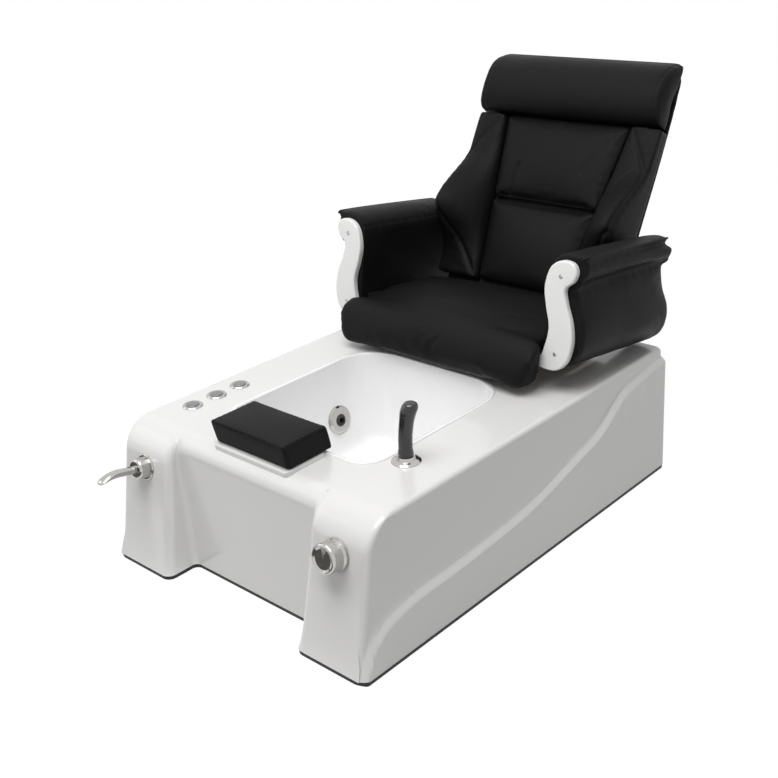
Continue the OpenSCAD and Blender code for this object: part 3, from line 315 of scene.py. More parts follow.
@dataclass(frozen=True)
class Chrome:
    """Polished plating with faint wiping marks."""

    name: str
    colour: tuple[float, float, float] = (0.52, 0.51, 0.49)
    roughness: float = 0.14

    def material(self) -> bpy.types.Material:
        """Builds the material."""
        paint = Paint(self.name)
        smudge = paint.noise(55.0, 4.0, 0.6)
        wipes = paint.noise(900.0, 2.0, 0.5, paint.place((1.0, 1.0, 0.06), 0.4))
        return paint.surface({
            "Base Color": paint.blend(smudge.band(0.4, 0.8), self.colour, scaled(self.colour, 0.9)),
            "Metallic": 1.0, "Roughness": self.roughness + 0.10 * smudge.band(0.45, 0.8),
            "Normal": paint.bump(wipes, 0.00001, 0.3)})


@dataclass(frozen=True)
class Metal:
    """Cast, zinc plated or machined metal with tool marks."""

    name: str
    colour: tuple[float, float, float]
    dull: tuple[float, float, float]
    roughness: float = 0.34
    marks: float = 0.00003

    def material(self) -> bpy.types.Material:
        """Builds the material."""
        paint = Paint(self.name)
        patches = paint.noise(38.0, 4.0, 0.6)
        spangle = paint.cells(240.0, "F1").band(0.1, 0.7)
        lines = paint.noise(1500.0, 2.0, 0.5, paint.place((1.0, 0.05, 1.0)))
        return paint.surface({
            "Base Color": paint.blend(patches.band(0.35, 0.75), self.colour, self.dull),
            "Metallic": 1.0, "Roughness": self.roughness + 0.12 * spangle,
            "Normal": paint.bump(lines, self.marks, 0.5)})


@dataclass(frozen=True)
class PowderCoat:
    """Powder coated steel: a fine leathery texture under a satin sheen."""

    name: str
    colour: tuple[float, float, float] = (0.022, 0.022, 0.024)

    def material(self) -> bpy.types.Material:
        """Builds the material."""
        paint = Paint(self.name)
        orange = paint.noise(700.0, 3.0, 0.55)
        dust = paint.noise(12.0, 4.0)
        return paint.surface({
            "Base Color": paint.blend(dust.band(0.5, 0.85) * 0.5, self.colour, scaled(self.colour, 2.2)),
            "Roughness": 0.42 + 0.14 * orange, "Specular IOR Level": 0.45,
            "Normal": paint.bump(orange, 0.00012, 0.6)})


@dataclass(frozen=True)
class Plastic:
    """Moulded plastic, from satin to gloss, with a spark-eroded grain."""

    name: str
    colour: tuple[float, float, float]
    roughness: float = 0.35
    grain: float = 0.00003
    coat: float = 0.0

    def material(self) -> bpy.types.Material:
        """Builds the material."""
        paint = Paint(self.name)
        grain = paint.noise(1400.0, 3.0, 0.6)
        flow = paint.noise(9.0, 2.0)
        return paint.surface({
            "Base Color": paint.blend(flow.band(0.35, 0.75), self.colour, scaled(self.colour, 0.93)),
            "Roughness": self.roughness + 0.07 * grain, "Coat Weight": self.coat, "Coat Roughness": 0.08,
            "Normal": paint.bump(grain, self.grain, 0.5)})


@dataclass(frozen=True)
class Plywood:
    """Raw birch plywood: long grain on the faces and glued layers on the edges."""

    name: str
    pale: tuple[float, float, float] = (0.56, 0.39, 0.22)
    dark: tuple[float, float, float] = (0.34, 0.20, 0.10)

    def material(self) -> bpy.types.Material:
        """Builds the material."""
        paint = Paint(self.name)
        grain = paint.noise(60.0, 6.0, 0.62, paint.place((1.0, 0.06, 1.0)))
        pores = paint.noise(520.0, 3.0, 0.5, paint.place((1.0, 0.03, 1.0)))
        return paint.surface({
            "Base Color": paint.blend(grain.band(0.3, 0.75), self.pale, self.dark),
            "Roughness": 0.62 + 0.15 * pores, "Normal": paint.bump(pores, 0.0002, 0.5)})


@dataclass(frozen=True)
class Lining:
    """Black dust cloth stretched over a board: crossed threads and a little lint."""

    name: str
    colour: tuple[float, float, float] = (0.010, 0.010, 0.011)
    thread: float = 1100.0

    def material(self) -> bpy.types.Material:
        """Builds the material."""
        paint = Paint(self.name)
        warp = paint.noise(self.thread, 1.0, 0.4, paint.place((1.0, 1.0, 0.08)))
        weft = paint.noise(self.thread, 1.0, 0.4, paint.place((0.08, 0.08, 1.0)))
        lint = paint.noise(90.0, 4.0, 0.6)
        return paint.surface({
            "Base Color": paint.blend(lint.band(0.55, 0.8) * 0.5, self.colour, scaled(self.colour, 2.0)),
            "Roughness": 0.82 + 0.1 * lint, "Specular IOR Level": 0.2,
            "Normal": paint.bump(warp + weft, 0.0002, 0.6)})


class Finishes:
    """Makes each finish once and gives it to nodes and pieces by slot."""

    MAKERS: dict[Slot, Any] = {
        Slot.GELCOAT: Gelcoat("gelcoat_white", (0.79, 0.785, 0.775)),
        # The basin's gelcoat is the shell's white made lighter: painted light, standing in for the brightly lit
        # basin.
        Slot.BASIN: Gelcoat("gelcoat_basin", (0.94, 0.94, 0.94), 0.18, 0.5),
        Slot.CAP: Gelcoat("cap_lacquer", (0.87, 0.87, 0.86), 0.30, 0.2, 0.00002),
        Slot.WHITE: Plastic("panel_plastic", (0.74, 0.74, 0.73), 0.38),
        Slot.BOARD: Plastic("board_sealed", (0.012, 0.012, 0.013), 0.6, 0.0002),
        Slot.BLACK: Plastic("black_nylon", (0.02, 0.02, 0.022), 0.42),
        Slot.BUTTON: Plastic("button_grey", (0.20, 0.20, 0.21), 0.26, 0.00001, 0.3),
        Slot.SHOWER: Plastic("shower_dark", (0.012, 0.012, 0.014), 0.20, 0.00001, 0.4),
        Slot.LEATHER: Leather("leather_black"),
        Slot.CHROME: Chrome("chrome_plate"),
        Slot.BRASS: Metal("brass_cast", (0.66, 0.47, 0.20), (0.46, 0.31, 0.13), 0.3),
        Slot.FRAME: PowderCoat("powder_coat"),
        Slot.SCREW: Metal("zinc_plate", (0.50, 0.50, 0.51), (0.36, 0.36, 0.37)),
        Slot.PLYWOOD: Plywood("plywood_birch"),
        Slot.LINED: Lining("dust_cloth"),
    }

    def __init__(self) -> None:
        """Starts with no finish made."""
        self.made: dict[Slot, bpy.types.Material] = {}

    def of(self, slot: Slot) -> bpy.types.Material:
        """The material of a slot."""
        if slot not in self.made:
            self.made[slot] = self.MAKERS[slot].material()
        return self.made[slot]

    def dress_nodes(self, frame: dict[str, Any]) -> None:
        """Gives every carried-over node the finish of its slot.
        """
        for part in frame["record"]["subparts"]:
            node = frame["nodes"][part["node"]]
            node.data.materials.clear()
            node.data.materials.append(self.of(Slot(part["material_slot"])))


# ---------------------------------------------------------------------------------------------------- shapes
def ease(t: Array) -> Array:
    """Rises from 0 to 1 as t goes from -1 to 1: a half, plus three quarters of t, less a quarter of its cube."""
    t = np.clip(t, -1.0, 1.0)
    return 0.5 + t * (0.75 - 0.25 * t * t)


def mix(low: Any, high: Any, share: Any) -> Any:
    """Straight line from low to high."""
    return low + (high - low) * share


def curve(knots: Sequence[Sequence[float]], x: Array) -> Array:
    """Smooth cubic through knots.

    Each span is a Hermite cubic whose end slopes are the slopes between the neighbouring knots, level at both ends.

    Args:
        knots: (place, height) pairs in order.
        x: Places to read the curve at.

    Returns:
        The heights.
    """
    place, height = np.array(knots, float).T
    slope = np.zeros_like(height)
    slope[1:-1] = (height[2:] - height[:-2]) / (place[2:] - place[:-2])
    k = np.clip(np.searchsorted(place, x, side="left") - 1, 0, len(place) - 2)
    w = place[k + 1] - place[k]
    t = np.clip((x - place[k]) / w, 0.0, 1.0)
    return (height[k] * (2 * t**3 - 3 * t**2 + 1) + slope[k] * w * (t**3 - 2 * t**2 + t)
            + height[k + 1] * (3 * t**2 - 2 * t**3) + slope[k + 1] * w * (t**3 - t**2))


def top_round(z: Array, radius: float, top: float) -> Array:
    """Inward run of a quarter round of a radius that ends level at the top."""
    return radius - np.sqrt(np.clip(radius**2 - np.clip(z - top + radius, 0.0, radius) ** 2, 0.0, None))


def loop_curve(knots: Sequence[Sequence[float]], steps: int) -> Array:
    """Closed smooth curve through knots: each span is the cubic whose slopes are half the neighbours' distance."""
    b = np.array(knots, float)[:, None, :]
    a, d, e = np.roll(b, 1, 0), np.roll(b, -1, 0), np.roll(b, -2, 0)
    t = (np.arange(steps) / steps)[None, :, None]
    spans = b + 0.5 * (t * (d - a) + t**2 * (2 * a - 5 * b + 4 * d - e) + t**3 * (3 * b - a - 3 * d + e))
    return spans.reshape(-1, 2)


def round_rect(width: float, length: float, front: float, rear: float, steps: int, side: int) -> Array:
    """Rounded rectangle about the origin.

    Four quarter circles, joined by straight sides.

    Args:
        width: Size along the first axis.
        length: Size along the second axis.
        front: Corner radius on the negative side of the second axis.
        rear: Corner radius on its positive side.
        steps: Steps round each corner.
        side: Steps along each straight side.

    Returns:
        Points, counter-clockwise.
    """
    parts = []
    for sx, sy, r, start in ((1, -1, front, -90), (1, 1, rear, 0), (-1, 1, rear, 90), (-1, -1, front, 180)):
        a = np.radians(start + np.linspace(0.0, 90.0, steps + 1))
        centre = np.array([sx * (width / 2 - r), sy * (length / 2 - r)])
        parts.append(centre + r * np.stack([np.cos(a), np.sin(a)], -1))
    share = (np.arange(1, side) / side)[:, None]
    out = []
    for part, after in zip(parts, parts[1:] + parts[:1]):
        out += [part, mix(part[-1], after[0], share)]
    return np.concatenate(out)


def at_height(outline: Array, z: float) -> Array:
    """The points of a flat outline at one height."""
    return np.column_stack([outline, np.full(len(outline), z)])


def joined_up(line: Array) -> Array:
    """A line that comes back to its first point."""
    return np.vstack([line, line[:1]])


def rounded_run(half: float, end: float, steps: int) -> tuple[Array, Array]:
    """Stations along a roll whose ends are rounded.

    Args:
        half: Half the roll's length.
        end: Length of each rounded end.
        steps: Stations between the ends.

    Returns:
        The stations, and the height of a quarter circle over them: 1 between the ends and 0 at the tips.
    """
    inward, outward = (np.sin(np.radians(np.linspace(*span, 10))) for span in ((90, 9), (9, 90)))
    x = np.concatenate([-half + end - end * inward, np.linspace(-half + end, half - end, steps),
                        half - end + end * outward])
    over = np.clip((np.abs(x) - half + end) / end, 0, 1)
    return x, np.sqrt(1 - over**2)


@dataclass(frozen=True)
class Form:
    """A closed surface in millimetres whose faces point outwards."""

    points: Array
    faces: tuple[Array, ...]

    @staticmethod
    def closed(points: Array, *faces: Array) -> "Form":
        """Turns the faces outwards.

        The signed volume is the sum over the faces' triangles of a . (b x c) / 6; where it is negative, every face
        is turned over.

        Args:
            points: Points, one per row.
            faces: Groups of faces with equally many corners.

        Returns:
            The form.
        """
        volume = 0.0
        for group in faces:
            a = points[group[:, 0]]
            for k in range(1, group.shape[1] - 1):
                volume += float(np.sum(a * np.cross(points[group[:, k]], points[group[:, k + 1]])))
        return Form(points, tuple(g if volume > 0 else g[:, ::-1] for g in faces))

    @staticmethod
    def skin(rings: Array, ends: Sequence[Sequence[float]] | None = None, flat: bool = False) -> "Form":
        """Skin over rings of equally many points.

        Args:
            rings: Array of rings by points by three.
            ends: Points that each end is fanned from; the rings' middles where it isn't given.
            flat: Closes each end with one flat face instead of a fan.

        Returns:
            The form.
        """
        m, n = rings.shape[:2]
        a = np.arange(n)
        b = np.roll(a, -1)
        base = (np.arange(m - 1) * n)[:, None]
        bands = np.stack([base + a, base + b, base + n + b, base + n + a], -1).reshape(-1, 4)
        points = rings.reshape(-1, 3)
        if flat:
            return Form.closed(points, bands, a[None, ::-1], a[None] + (m - 1) * n)
        tips = np.array([rings[0].mean(0), rings[-1].mean(0)] if ends is None else ends, float)
        low = np.stack([np.full(n, m * n), b, a], -1)
        high = np.stack([np.full(n, m * n + 1), a + (m - 1) * n, b + (m - 1) * n], -1)
        return Form.closed(np.concatenate([points, tips]), bands, low, high)

    @staticmethod
    def looped(rings: Array) -> "Form":
        """Skin whose last ring joins its first."""
        m, n = rings.shape[:2]
        a = np.arange(n)
        b = np.roll(a, -1)
        base, after = (np.arange(m) * n)[:, None], (np.roll(np.arange(m), -1) * n)[:, None]
        bands = np.stack([base + a, base + b, after + b, after + a], -1).reshape(-1, 4)
        return Form.closed(rings.reshape(-1, 3), bands)

    @staticmethod
    def turned(profile: Sequence[tuple[float, float]], steps: int = 48) -> "Form":
        """Body of revolution about Z from a profile of (radius, height) pairs that leaves the axis out."""
        a = np.linspace(0.0, 2 * np.pi, steps, endpoint=False)
        rings = np.stack([np.stack([r * np.cos(a), r * np.sin(a), np.full(steps, z)], -1) for r, z in profile])
        return Form.skin(rings)

    @staticmethod
    def block(low: Sequence[float], high: Sequence[float]) -> "Form":
        """Box between two corners."""
        (x0, y0, z0), (x1, y1, z1) = low, high
        ring = np.array([[x0, y0], [x1, y0], [x1, y1], [x0, y1]], float)
        return Form.skin(np.stack([at_height(ring, z) for z in (z0, z1)]), flat=True)

    def moved(self, by: Matrix) -> "Form":
        """The form in another space, whose matrix is in millimetres."""
        turn = np.array(by.to_3x3())
        return Form.closed(self.points @ turn.T + np.array(by.translation), *self.faces)

    def joined(self, *others: "Form") -> "Form":
        """One form of several closed surfaces."""
        points, faces = [self.points], list(self.faces)
        start = len(self.points)
        for other in others:
            points.append(other.points)
            faces += [group + start for group in other.faces]
            start += len(other.points)
        return Form(np.concatenate(points), tuple(faces))


def space(place: Sequence[float], turn: float = 0.0, axis: str = "X") -> Matrix:
    """A space with its origin at a place in millimetres, turned by degrees about one axis."""
    return Matrix.Translation(Vector(place)) @ Matrix.Rotation(math.radians(turn), 4, axis)


# On the seat board between the arm caps: X across, Y back, Z up
SEAT = space((0.0, 165.0, 378.0), -7.5)
# On the backrest's front plane above the seat: X across, Y back through it, Z up along it
BACK = SEAT @ space((0.0, 287.0, 73.0), -21.9)
MIRROR = Matrix.Scale(-1.0, 4, (1.0, 0.0, 0.0))
# Height of the deck, the middle of the basin and of the shower's socket on it, and run over rise of a leg's face
DECK = 312.0
BASIN_PLACE = np.array([0.0, -93.0])
SHOWER_PLACE = (255.0, -256.0)
LEG_LEAN = 0.19


def on_leg(side: int) -> Matrix:
    """Space on the face of a leg at the controls' height, with Z pointing out of the face."""
    return space((side * 286.0, -489.3, 230.0), 90.0 - math.degrees(math.atan(LEG_LEAN)))


def show(made: bpy.types.Object) -> None:
    """Links a new object to the scene."""
    bpy.context.scene.collection.objects.link(made)


def coords(mesh: bpy.types.Mesh) -> Array:
    """The mesh's points in metres."""
    flat = np.empty(len(mesh.vertices) * 3, np.float32)
    mesh.vertices.foreach_get("co", flat)
    return flat.reshape(-1, 3).astype(float)


def normals(mesh: bpy.types.Mesh) -> Array:
    """The mesh's point normals."""
    flat = np.empty(len(mesh.vertices) * 3, np.float32)
    mesh.vertex_normals.foreach_get("vector", flat)
    return flat.reshape(-1, 3).astype(float)


def reshape(mesh: bpy.types.Mesh, points: Array) -> None:
    """Moves the mesh's points to new places in metres."""
    mesh.vertices.foreach_set("co", points.astype(np.float32).ravel())
    mesh.update()


@dataclass(frozen=True)
class Seam:
    """A line sewn or creased into a padded piece, in the piece's own space in millimetres.

    The surface sinks along its normal by depth times exp(-(distance / width) squared). Puckers beside it sink by
    the same law over their own reach, times a half plus half a sine along the line, whose beat drifts.
    """

    line: Array
    depth: float = 3.0
    width: float = 4.0
    pucker: float = 0.0
    reach: float = 16.0
    beat: float = 19.0

    def sunk(self, points: Array) -> Array:
        """How far each point sinks, in millimetres."""
        steps = np.linalg.norm(np.diff(self.line, axis=0), axis=1)
        run = np.concatenate([[0.0], np.cumsum(steps)])
        spots = np.linspace(0.0, run[-1], max(8, int(run[-1] / 3.0)))
        dense = np.stack([np.interp(spots, run, self.line[:, k]) for k in range(3)], -1)
        gaps = (points**2).sum(1)[:, None] + (dense**2).sum(1)[None] - 2.0 * points @ dense.T
        near = gaps.argmin(1)
        away = np.sqrt(np.clip(gaps[np.arange(len(points)), near], 0.0, None))
        sink = self.depth * np.exp(-((away / self.width) ** 2))
        if self.pucker:
            along = spots[near]
            beat = along / self.beat + 0.35 * np.sin(along / 47.0) + 0.2 * np.sin(along / 13.0 + 1.3)
            wave = 0.5 + 0.5 * np.sin(2 * np.pi * beat)
            sink += self.pucker * wave * np.exp(-((away / self.reach) ** 2)) * np.clip(away / self.width, 0.0, 1.0)
        return sink


@dataclass
class Workshop:
    """Makes objects from forms and puts them into the frame."""

    CLOTH_MASS = 0.25
    STRETCH_STIFFNESS = 12.0
    BEND_STIFFNESS = 0.4
    PRESSURE = 4.0
    FRAMES = 20

    finishes: Finishes

    def raw(self, name: str, form: Form) -> bpy.types.Object:
        """Makes a smooth mesh object of a form, in metres and in the form's own space."""
        mesh = bpy.data.meshes.new(name)
        faces = [face for group in form.faces for face in group.tolist()]
        mesh.from_pydata((form.points * MM).tolist(), [], faces)
        mesh.shade_smooth()
        made = bpy.data.objects.new(name, mesh)
        show(made)
        return made

    @staticmethod
    def twin(made: bpy.types.Object, name: str) -> bpy.types.Object:
        """A copy of an object with a mesh of its own."""
        other = bpy.data.objects.new(name, made.data.copy())
        show(other)
        return other

    @staticmethod
    def settle(made: bpy.types.Object) -> None:
        """Applies all modifiers of an object."""
        bpy.context.view_layer.update()
        done = made.evaluated_get(bpy.context.evaluated_depsgraph_get())
        mesh = bpy.data.meshes.new_from_object(done)
        made.modifiers.clear()
        old, made.data = made.data, mesh
        bpy.data.meshes.remove(old)

    def cut(self, made: bpy.types.Object, tools: Form) -> None:
        """Cuts closed forms out of an object."""
        tool = self.raw("tool", tools)
        mod = made.modifiers.new("cut", "BOOLEAN")
        mod.operation, mod.solver, mod.object = "DIFFERENCE", "EXACT", tool
        self.settle(made)
        mesh = tool.data
        bpy.data.objects.remove(tool)
        bpy.data.meshes.remove(mesh)

    def place(
        self,
        made: bpy.types.Object,
        where: Matrix,
        slot: Slot,
        body: str,
        nodes: Sequence[str] = (),
        sharp: float | None = None,
    ) -> None:
        """Moves a finished mesh into the frame and hangs it on its body.

        Args:
            made: The object, in its own space in metres.
            where: The space it belongs in, in millimetres.
            slot: The material slot of its finish.
            body: The body that it rides on.
            nodes: The nodes that it stands for.
            sharp: Edges over this angle in degrees are drawn sharp.
        """
        turn = where.copy()
        turn.translation = where.translation * MM
        made.data.transform(turn)
        if turn.determinant() < 0:
            made.data.flip_normals()
        made.data.shade_smooth()
        if sharp is not None:
            made.data.set_sharp_from_angle(angle=math.radians(sharp))
        made.data.materials.clear()
        made.data.materials.append(self.finishes.of(slot))
        if nodes:
            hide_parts(*nodes)
        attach(made, body)
        LOG.info("%s: %d faces on %s", made.name, len(made.data.polygons), body)

    def fill(
        self,
        made: bpy.types.Object,
        held: Callable[[Array], Array],
        travel: float,
        voxel: float,
        smooth: int = 2,
    ) -> None:
        """Fills a closed form like a cushion.

        The form is remeshed into even cells and blown up as cloth, frame by frame. A point moves by no more than
        travel, and not at all where it is held.

        Args:
            made: The object, in its own space.
            held: Gives 1 where the cover is fixed and 0 where it is free, from points in millimetres.
            travel: Longest way a point may go, in millimetres.
            voxel: Cell size in millimetres.
            smooth: Smoothing steps after the remesh.
        """
        cells = made.modifiers.new("cells", "REMESH")
        cells.mode, cells.voxel_size = "VOXEL", voxel * MM
        relax = made.modifiers.new("relax", "SMOOTH")
        relax.factor, relax.iterations = 0.5, smooth
        self.settle(made)
        start = coords(made.data)
        group = made.vertex_groups.new(name="held")
        grip = held(start / MM)
        for level in np.unique(grip):
            group.add(np.flatnonzero(grip == level).tolist(), float(level), "REPLACE")
        cloth = made.modifiers.new("cloth", "CLOTH")
        cloth.settings.quality = 5
        cloth.settings.mass = self.CLOTH_MASS
        cloth.settings.tension_stiffness = cloth.settings.compression_stiffness = self.STRETCH_STIFFNESS
        cloth.settings.bending_stiffness = self.BEND_STIFFNESS
        cloth.settings.use_pressure = True
        cloth.settings.uniform_pressure_force = self.PRESSURE
        cloth.settings.vertex_group_mass = "held"
        cloth.settings.effector_weights.gravity = 0.0
        cloth.point_cache.frame_start, cloth.point_cache.frame_end = 1, self.FRAMES
        for step in range(1, self.FRAMES + 1):
            bpy.context.scene.frame_set(step)
        self.settle(made)
        bpy.context.scene.frame_set(1)
        made.vertex_groups.clear()
        move = coords(made.data) - start
        way = np.linalg.norm(move, axis=1, keepdims=True)
        reshape(made.data, start + move * np.minimum(1.0, travel * MM / np.maximum(way, 1e-9)))
        finer = made.modifiers.new("finer", "SUBSURF")
        finer.levels = finer.render_levels = 1
        self.settle(made)

    @staticmethod
    def sew(made: bpy.types.Object, seams: Sequence[Seam], fit: Callable[[Array], Array]) -> None:
        """Sinks seams and creases into a filled piece, then fits it into its room.

        Args:
            made: The object, in its own space.
            seams: The seams.
            fit: Moves points in millimetres to where they have room.
        """
        points = coords(made.data) / MM
        sink = sum(seam.sunk(points) for seam in seams)
        reshape(made.data, fit(points - normals(made.data) * sink[:, None]) * MM)

    def cord(self, name: str, line: Array, radius: float) -> bpy.types.Object:
        """Sewn piping: a round tube along a line.

        Rings stand across the line, on the two directions that are square to its slope and to each other.

        Args:
            name: The object's name.
            line: Points in millimetres.
            radius: The tube's radius.

        Returns:
            The object, in its own space.
        """
        corners_round = 8
        oblique = np.array([0.17, 0.23, 0.96])
        slope = np.gradient(line, axis=0)
        slope /= np.linalg.norm(slope, axis=1, keepdims=True)
        aside = np.cross(slope, oblique)
        aside /= np.linalg.norm(aside, axis=1, keepdims=True)
        up = np.cross(aside, slope)
        a = np.linspace(0.0, 2 * np.pi, corners_round, endpoint=False)[None, :, None]
        rings = line[:, None] + radius * (np.cos(a) * aside[:, None] + np.sin(a) * up[:, None])
        return self.raw(name, Form.skin(rings))


# ------------------------------------------------------------------------------------------------------ base
@dataclass
class MouldedBase:
    """The moulded shell: legs that lean and flare, a knee recess, large rounds and a waved shoulder.

    Corners holds four radii in plan: the recess, the leg's inner and outer corner, and the rear.
    """

    width: float = 760.0
    length: float = 1080.0
    deck: float = DECK
    wall: float = 5.0
    foot: float = 9.0
    draft: float = 4.0
    corners: tuple[float, float, float, float] = (14.0, 20.0, 13.0, 16.0)
    leg_inside: float = 192.0
    recess: float = 82.0
    leg_round: float = 60.0
    recess_round: float = 41.0
    edge: float = 10.0
    step_in: float = 13.0
    blend: float = 7.5
    shoulder: tuple[tuple[float, float], ...] = (
        (0, 0), (0.04, 0.24), (0.12, 0.35), (0.28, 0.375), (0.48, 0.43), (0.65, 0.565), (0.74, 0.655),
        (0.825, 0.83), (0.88, 0.865), (1, 0.915))

    def shoulder_z(self, y: Array) -> Array:
        """Height of the waved shoulder at a place along the base."""
        return self.deck * curve(self.shoulder, (y + self.length / 2) / self.length)

    def soft(self, y: Array) -> Array:
        """Half height of the shoulder's step, which is widest at the front foot."""
        return self.blend * (1.0 + 2.6 * np.exp(-(y + self.length / 2) / 55.0))

    def side_x(self, y: Array, z: Array, inset: float, top: float) -> Array:
        """Half width: the floor's, less draft, the shoulder's eased step and the round into the deck."""
        return (self.width / 2 - inset - self.draft * z / self.deck
                - self.step_in * ease((z - self.shoulder_z(y)) / self.soft(y)) - top_round(z, self.edge, top))

    def leg_y(self, z: Array, inset: float, top: float) -> Array:
        """Face of a leg: leans back as it rises, flares out at the foot, and rounds into the deck."""
        return (-self.length / 2 + inset + LEG_LEAN * z + 7.0 * (1 - np.exp(-z / 25.0))
                + top_round(z, self.leg_round, top))

    def row_z(self, i: Array, j: Array, y: Array, top: float) -> Array:
        """Height of row i at station j: even rows on the front ease into rows that follow the shoulder."""
        low = self.foot + (top - self.leg_round - self.foot) * (np.clip(i, 0, 8) / 8.0) ** 1.2
        turn = np.radians(90.0 * np.clip(i - 8.0, 0, 8) / 8.0)
        front = np.where(i <= 8, low, top - self.leg_round + self.leg_round * np.sin(turn))
        blend = self.soft(y)
        s = np.maximum(self.shoulder_z(y), self.foot + blend + 3.0)
        band = s + blend * (i - 3.0) / 2.0
        rise = np.where(i < 1, mix(self.foot, s - blend, i), band)
        rise = np.where(i > 5, mix(s + blend, top - self.edge, (i - 5.0) / 3.0), rise)
        side = np.where(i <= 8, rise, top - self.edge + self.edge * np.sin(turn))
        return mix(front, side, ease(2.0 * (j - 15.0) / 8.0 - 1.0))

    def half(self, j: Array, i: Array, inset: float, top: float) -> Array:
        """Right half of the outline.

        Stations 0 to 2 cross the recess, 2 to 6 turn its inner corner, 7 to 11 the leg's inner corner, 11 to 15
        cross the leg, 15 to 19 turn its outer corner, 19 to 44 run along the side, 44 to 48 turn the rear corner
        and 48 to 51 cross the rear.

        Args:
            j: Stations, as a row.
            i: Rows, as a column.
            inset: How far the outline lies inside the outer skin.
            top: Height of the deck's face.

        Returns:
            Points by row and station.
        """
        run = np.clip((j - 19.0) / 25.0, 0.0, 1.0) ** 1.15
        z = self.row_z(i, j, mix(-self.length / 2, self.length / 2, run), top)
        ly = self.leg_y(z, inset, top)
        ry = np.maximum(-self.length / 2 + inset + self.recess + 0.01 * z + top_round(z, self.recess_round, top),
                        ly + 1.5)
        lx = self.leg_inside + inset + 0.045 * z + 6.0 * (1 - np.exp(-z / 20.0))
        by = self.length / 2 - inset - self.draft * z / self.deck - top_round(z, self.edge, top)
        room = (ry - ly) / 2.0 - 0.2
        into, leg, front, rear = self.corners
        inner, outer = np.minimum(into, room), np.minimum(leg - inset, room)
        spread = 3.0 * np.maximum(0.0, 1.0 - (ry - ly) / 34.0)

        def turn(first: float) -> tuple[Array, Array]:
            """Cosine and sine over the four stations of a corner."""
            a = np.radians(90.0 * np.clip(j - first, 0.0, 4.0) / 4.0)
            return np.cos(a) + 0.0 * z, np.sin(a) + 0.0 * z

        c1, s1 = turn(2.0)
        c2, s2 = turn(7.0)
        c3, s3 = turn(15.0)
        c4, s4 = turn(44.0)
        x0, x1 = lx + leg - inset, self.side_x(ly + front, z, inset, top) - front
        y3 = ly + front * (1.0 - c3)
        y4 = mix(ly + front, by - rear, run)
        y5 = by - rear * (1.0 - s4)
        xs = [(lx - spread - into) * j / 2.0, lx - spread - into * (1.0 - s1),
              lx + spread + (leg - inset - spread) * (1.0 - c2), mix(x0, x1, (j - 11.0) / 4.0),
              self.side_x(y3, z, inset, top) - front * (1.0 - s3), self.side_x(y4, z, inset, top),
              self.side_x(y5, z, inset, top) - rear * (1.0 - c4),
              (self.side_x(by, z, inset, top) - rear) * (1.0 - (j - 48.0) / 3.0)]
        ys = [ry, ry - inner * (1.0 - c1), ly + outer * (1.0 - s2), ly, y3, y4, y5, by]
        which = np.searchsorted([2.0, 6.5, 11.0, 15.0, 19.0, 44.0, 48.0], j[0], side="left") + 0 * i.astype(int)
        x = np.choose(which, [v + 0.0 * z for v in xs])
        y = np.choose(which, [v + 0.0 * z for v in ys])
        return np.stack([x, y, z], -1)

    def rings(self, i: Array, inset: float, top: float, fine: int) -> Array:
        """Whole outline on each row, with fine steps per station: the right half and its mirror image."""
        spans = [(0, 2), (2, 6), (7, 11), (11, 15), (15, 19), (19, 44), (44, 48), (48, 51)]
        j = np.unique(np.concatenate([np.linspace(a, b, (b - a) * fine + 1) for a, b in spans]))
        right = self.half(j[None, :], np.asarray(i, float)[:, None], inset, top)
        left = right[:, -2:0:-1] * np.array([-1.0, 1.0, 1.0])
        return np.concatenate([right, left], axis=1)

    def form(self, mouth: Array) -> Form:
        """Outer skin, deck with the basin's mouth, and inner skin.

        Each deck point moves on a straight line from the outline to the mouth's point in the same direction from
        the mouth's middle.

        Args:
            mouth: Outline of the mouth.

        Returns:
            The closed shell.
        """
        def rows(foot: Sequence[float], *steps: int) -> Array:
            """Rows at the foot, over the shoulder's step, up to the round and over the round."""
            spans = zip(((1, 5), (5, 8), (8, 16)), steps, (0, 1, 1))
            return np.concatenate([foot, *(np.linspace(*span, n)[skip:] for span, n, skip in spans)])

        outer = self.rings(rows([0.0, 0.3, 0.65], 33, 14, 21), 0.0, self.deck, 4)
        inner = self.rings(rows([0.0, 0.5], 9, 4, 13)[::-1], self.wall, self.deck - self.wall, 4)
        middle = BASIN_PLACE
        bearing = np.arctan2(*(mouth - middle).T[::-1])
        order = np.argsort(bearing)
        reach = np.linalg.norm(mouth - middle, axis=1)[order]

        def deck(edge: Array, z: float, shares: Sequence[float]) -> Array:
            """Rings on the deck's face from its edge to the mouth."""
            toward = edge[:, :2] - middle
            angle = np.arctan2(toward[:, 1], toward[:, 0])
            r = np.interp(angle, bearing[order], reach, period=2 * np.pi)
            hole = middle + r[:, None] * np.stack([np.cos(angle), np.sin(angle)], -1)
            flat = [mix(edge[:, :2], hole, s) for s in shares]
            return np.stack([at_height(p, z) for p in flat])

        above = deck(outer[-1], self.deck, (0.02, 0.1, 0.3, 0.55, 0.8, 1.0))
        below = deck(inner[0], self.deck - self.wall, (1.0, 0.5, 0.05))
        return Form.looped(np.concatenate([outer, above, below, inner]))

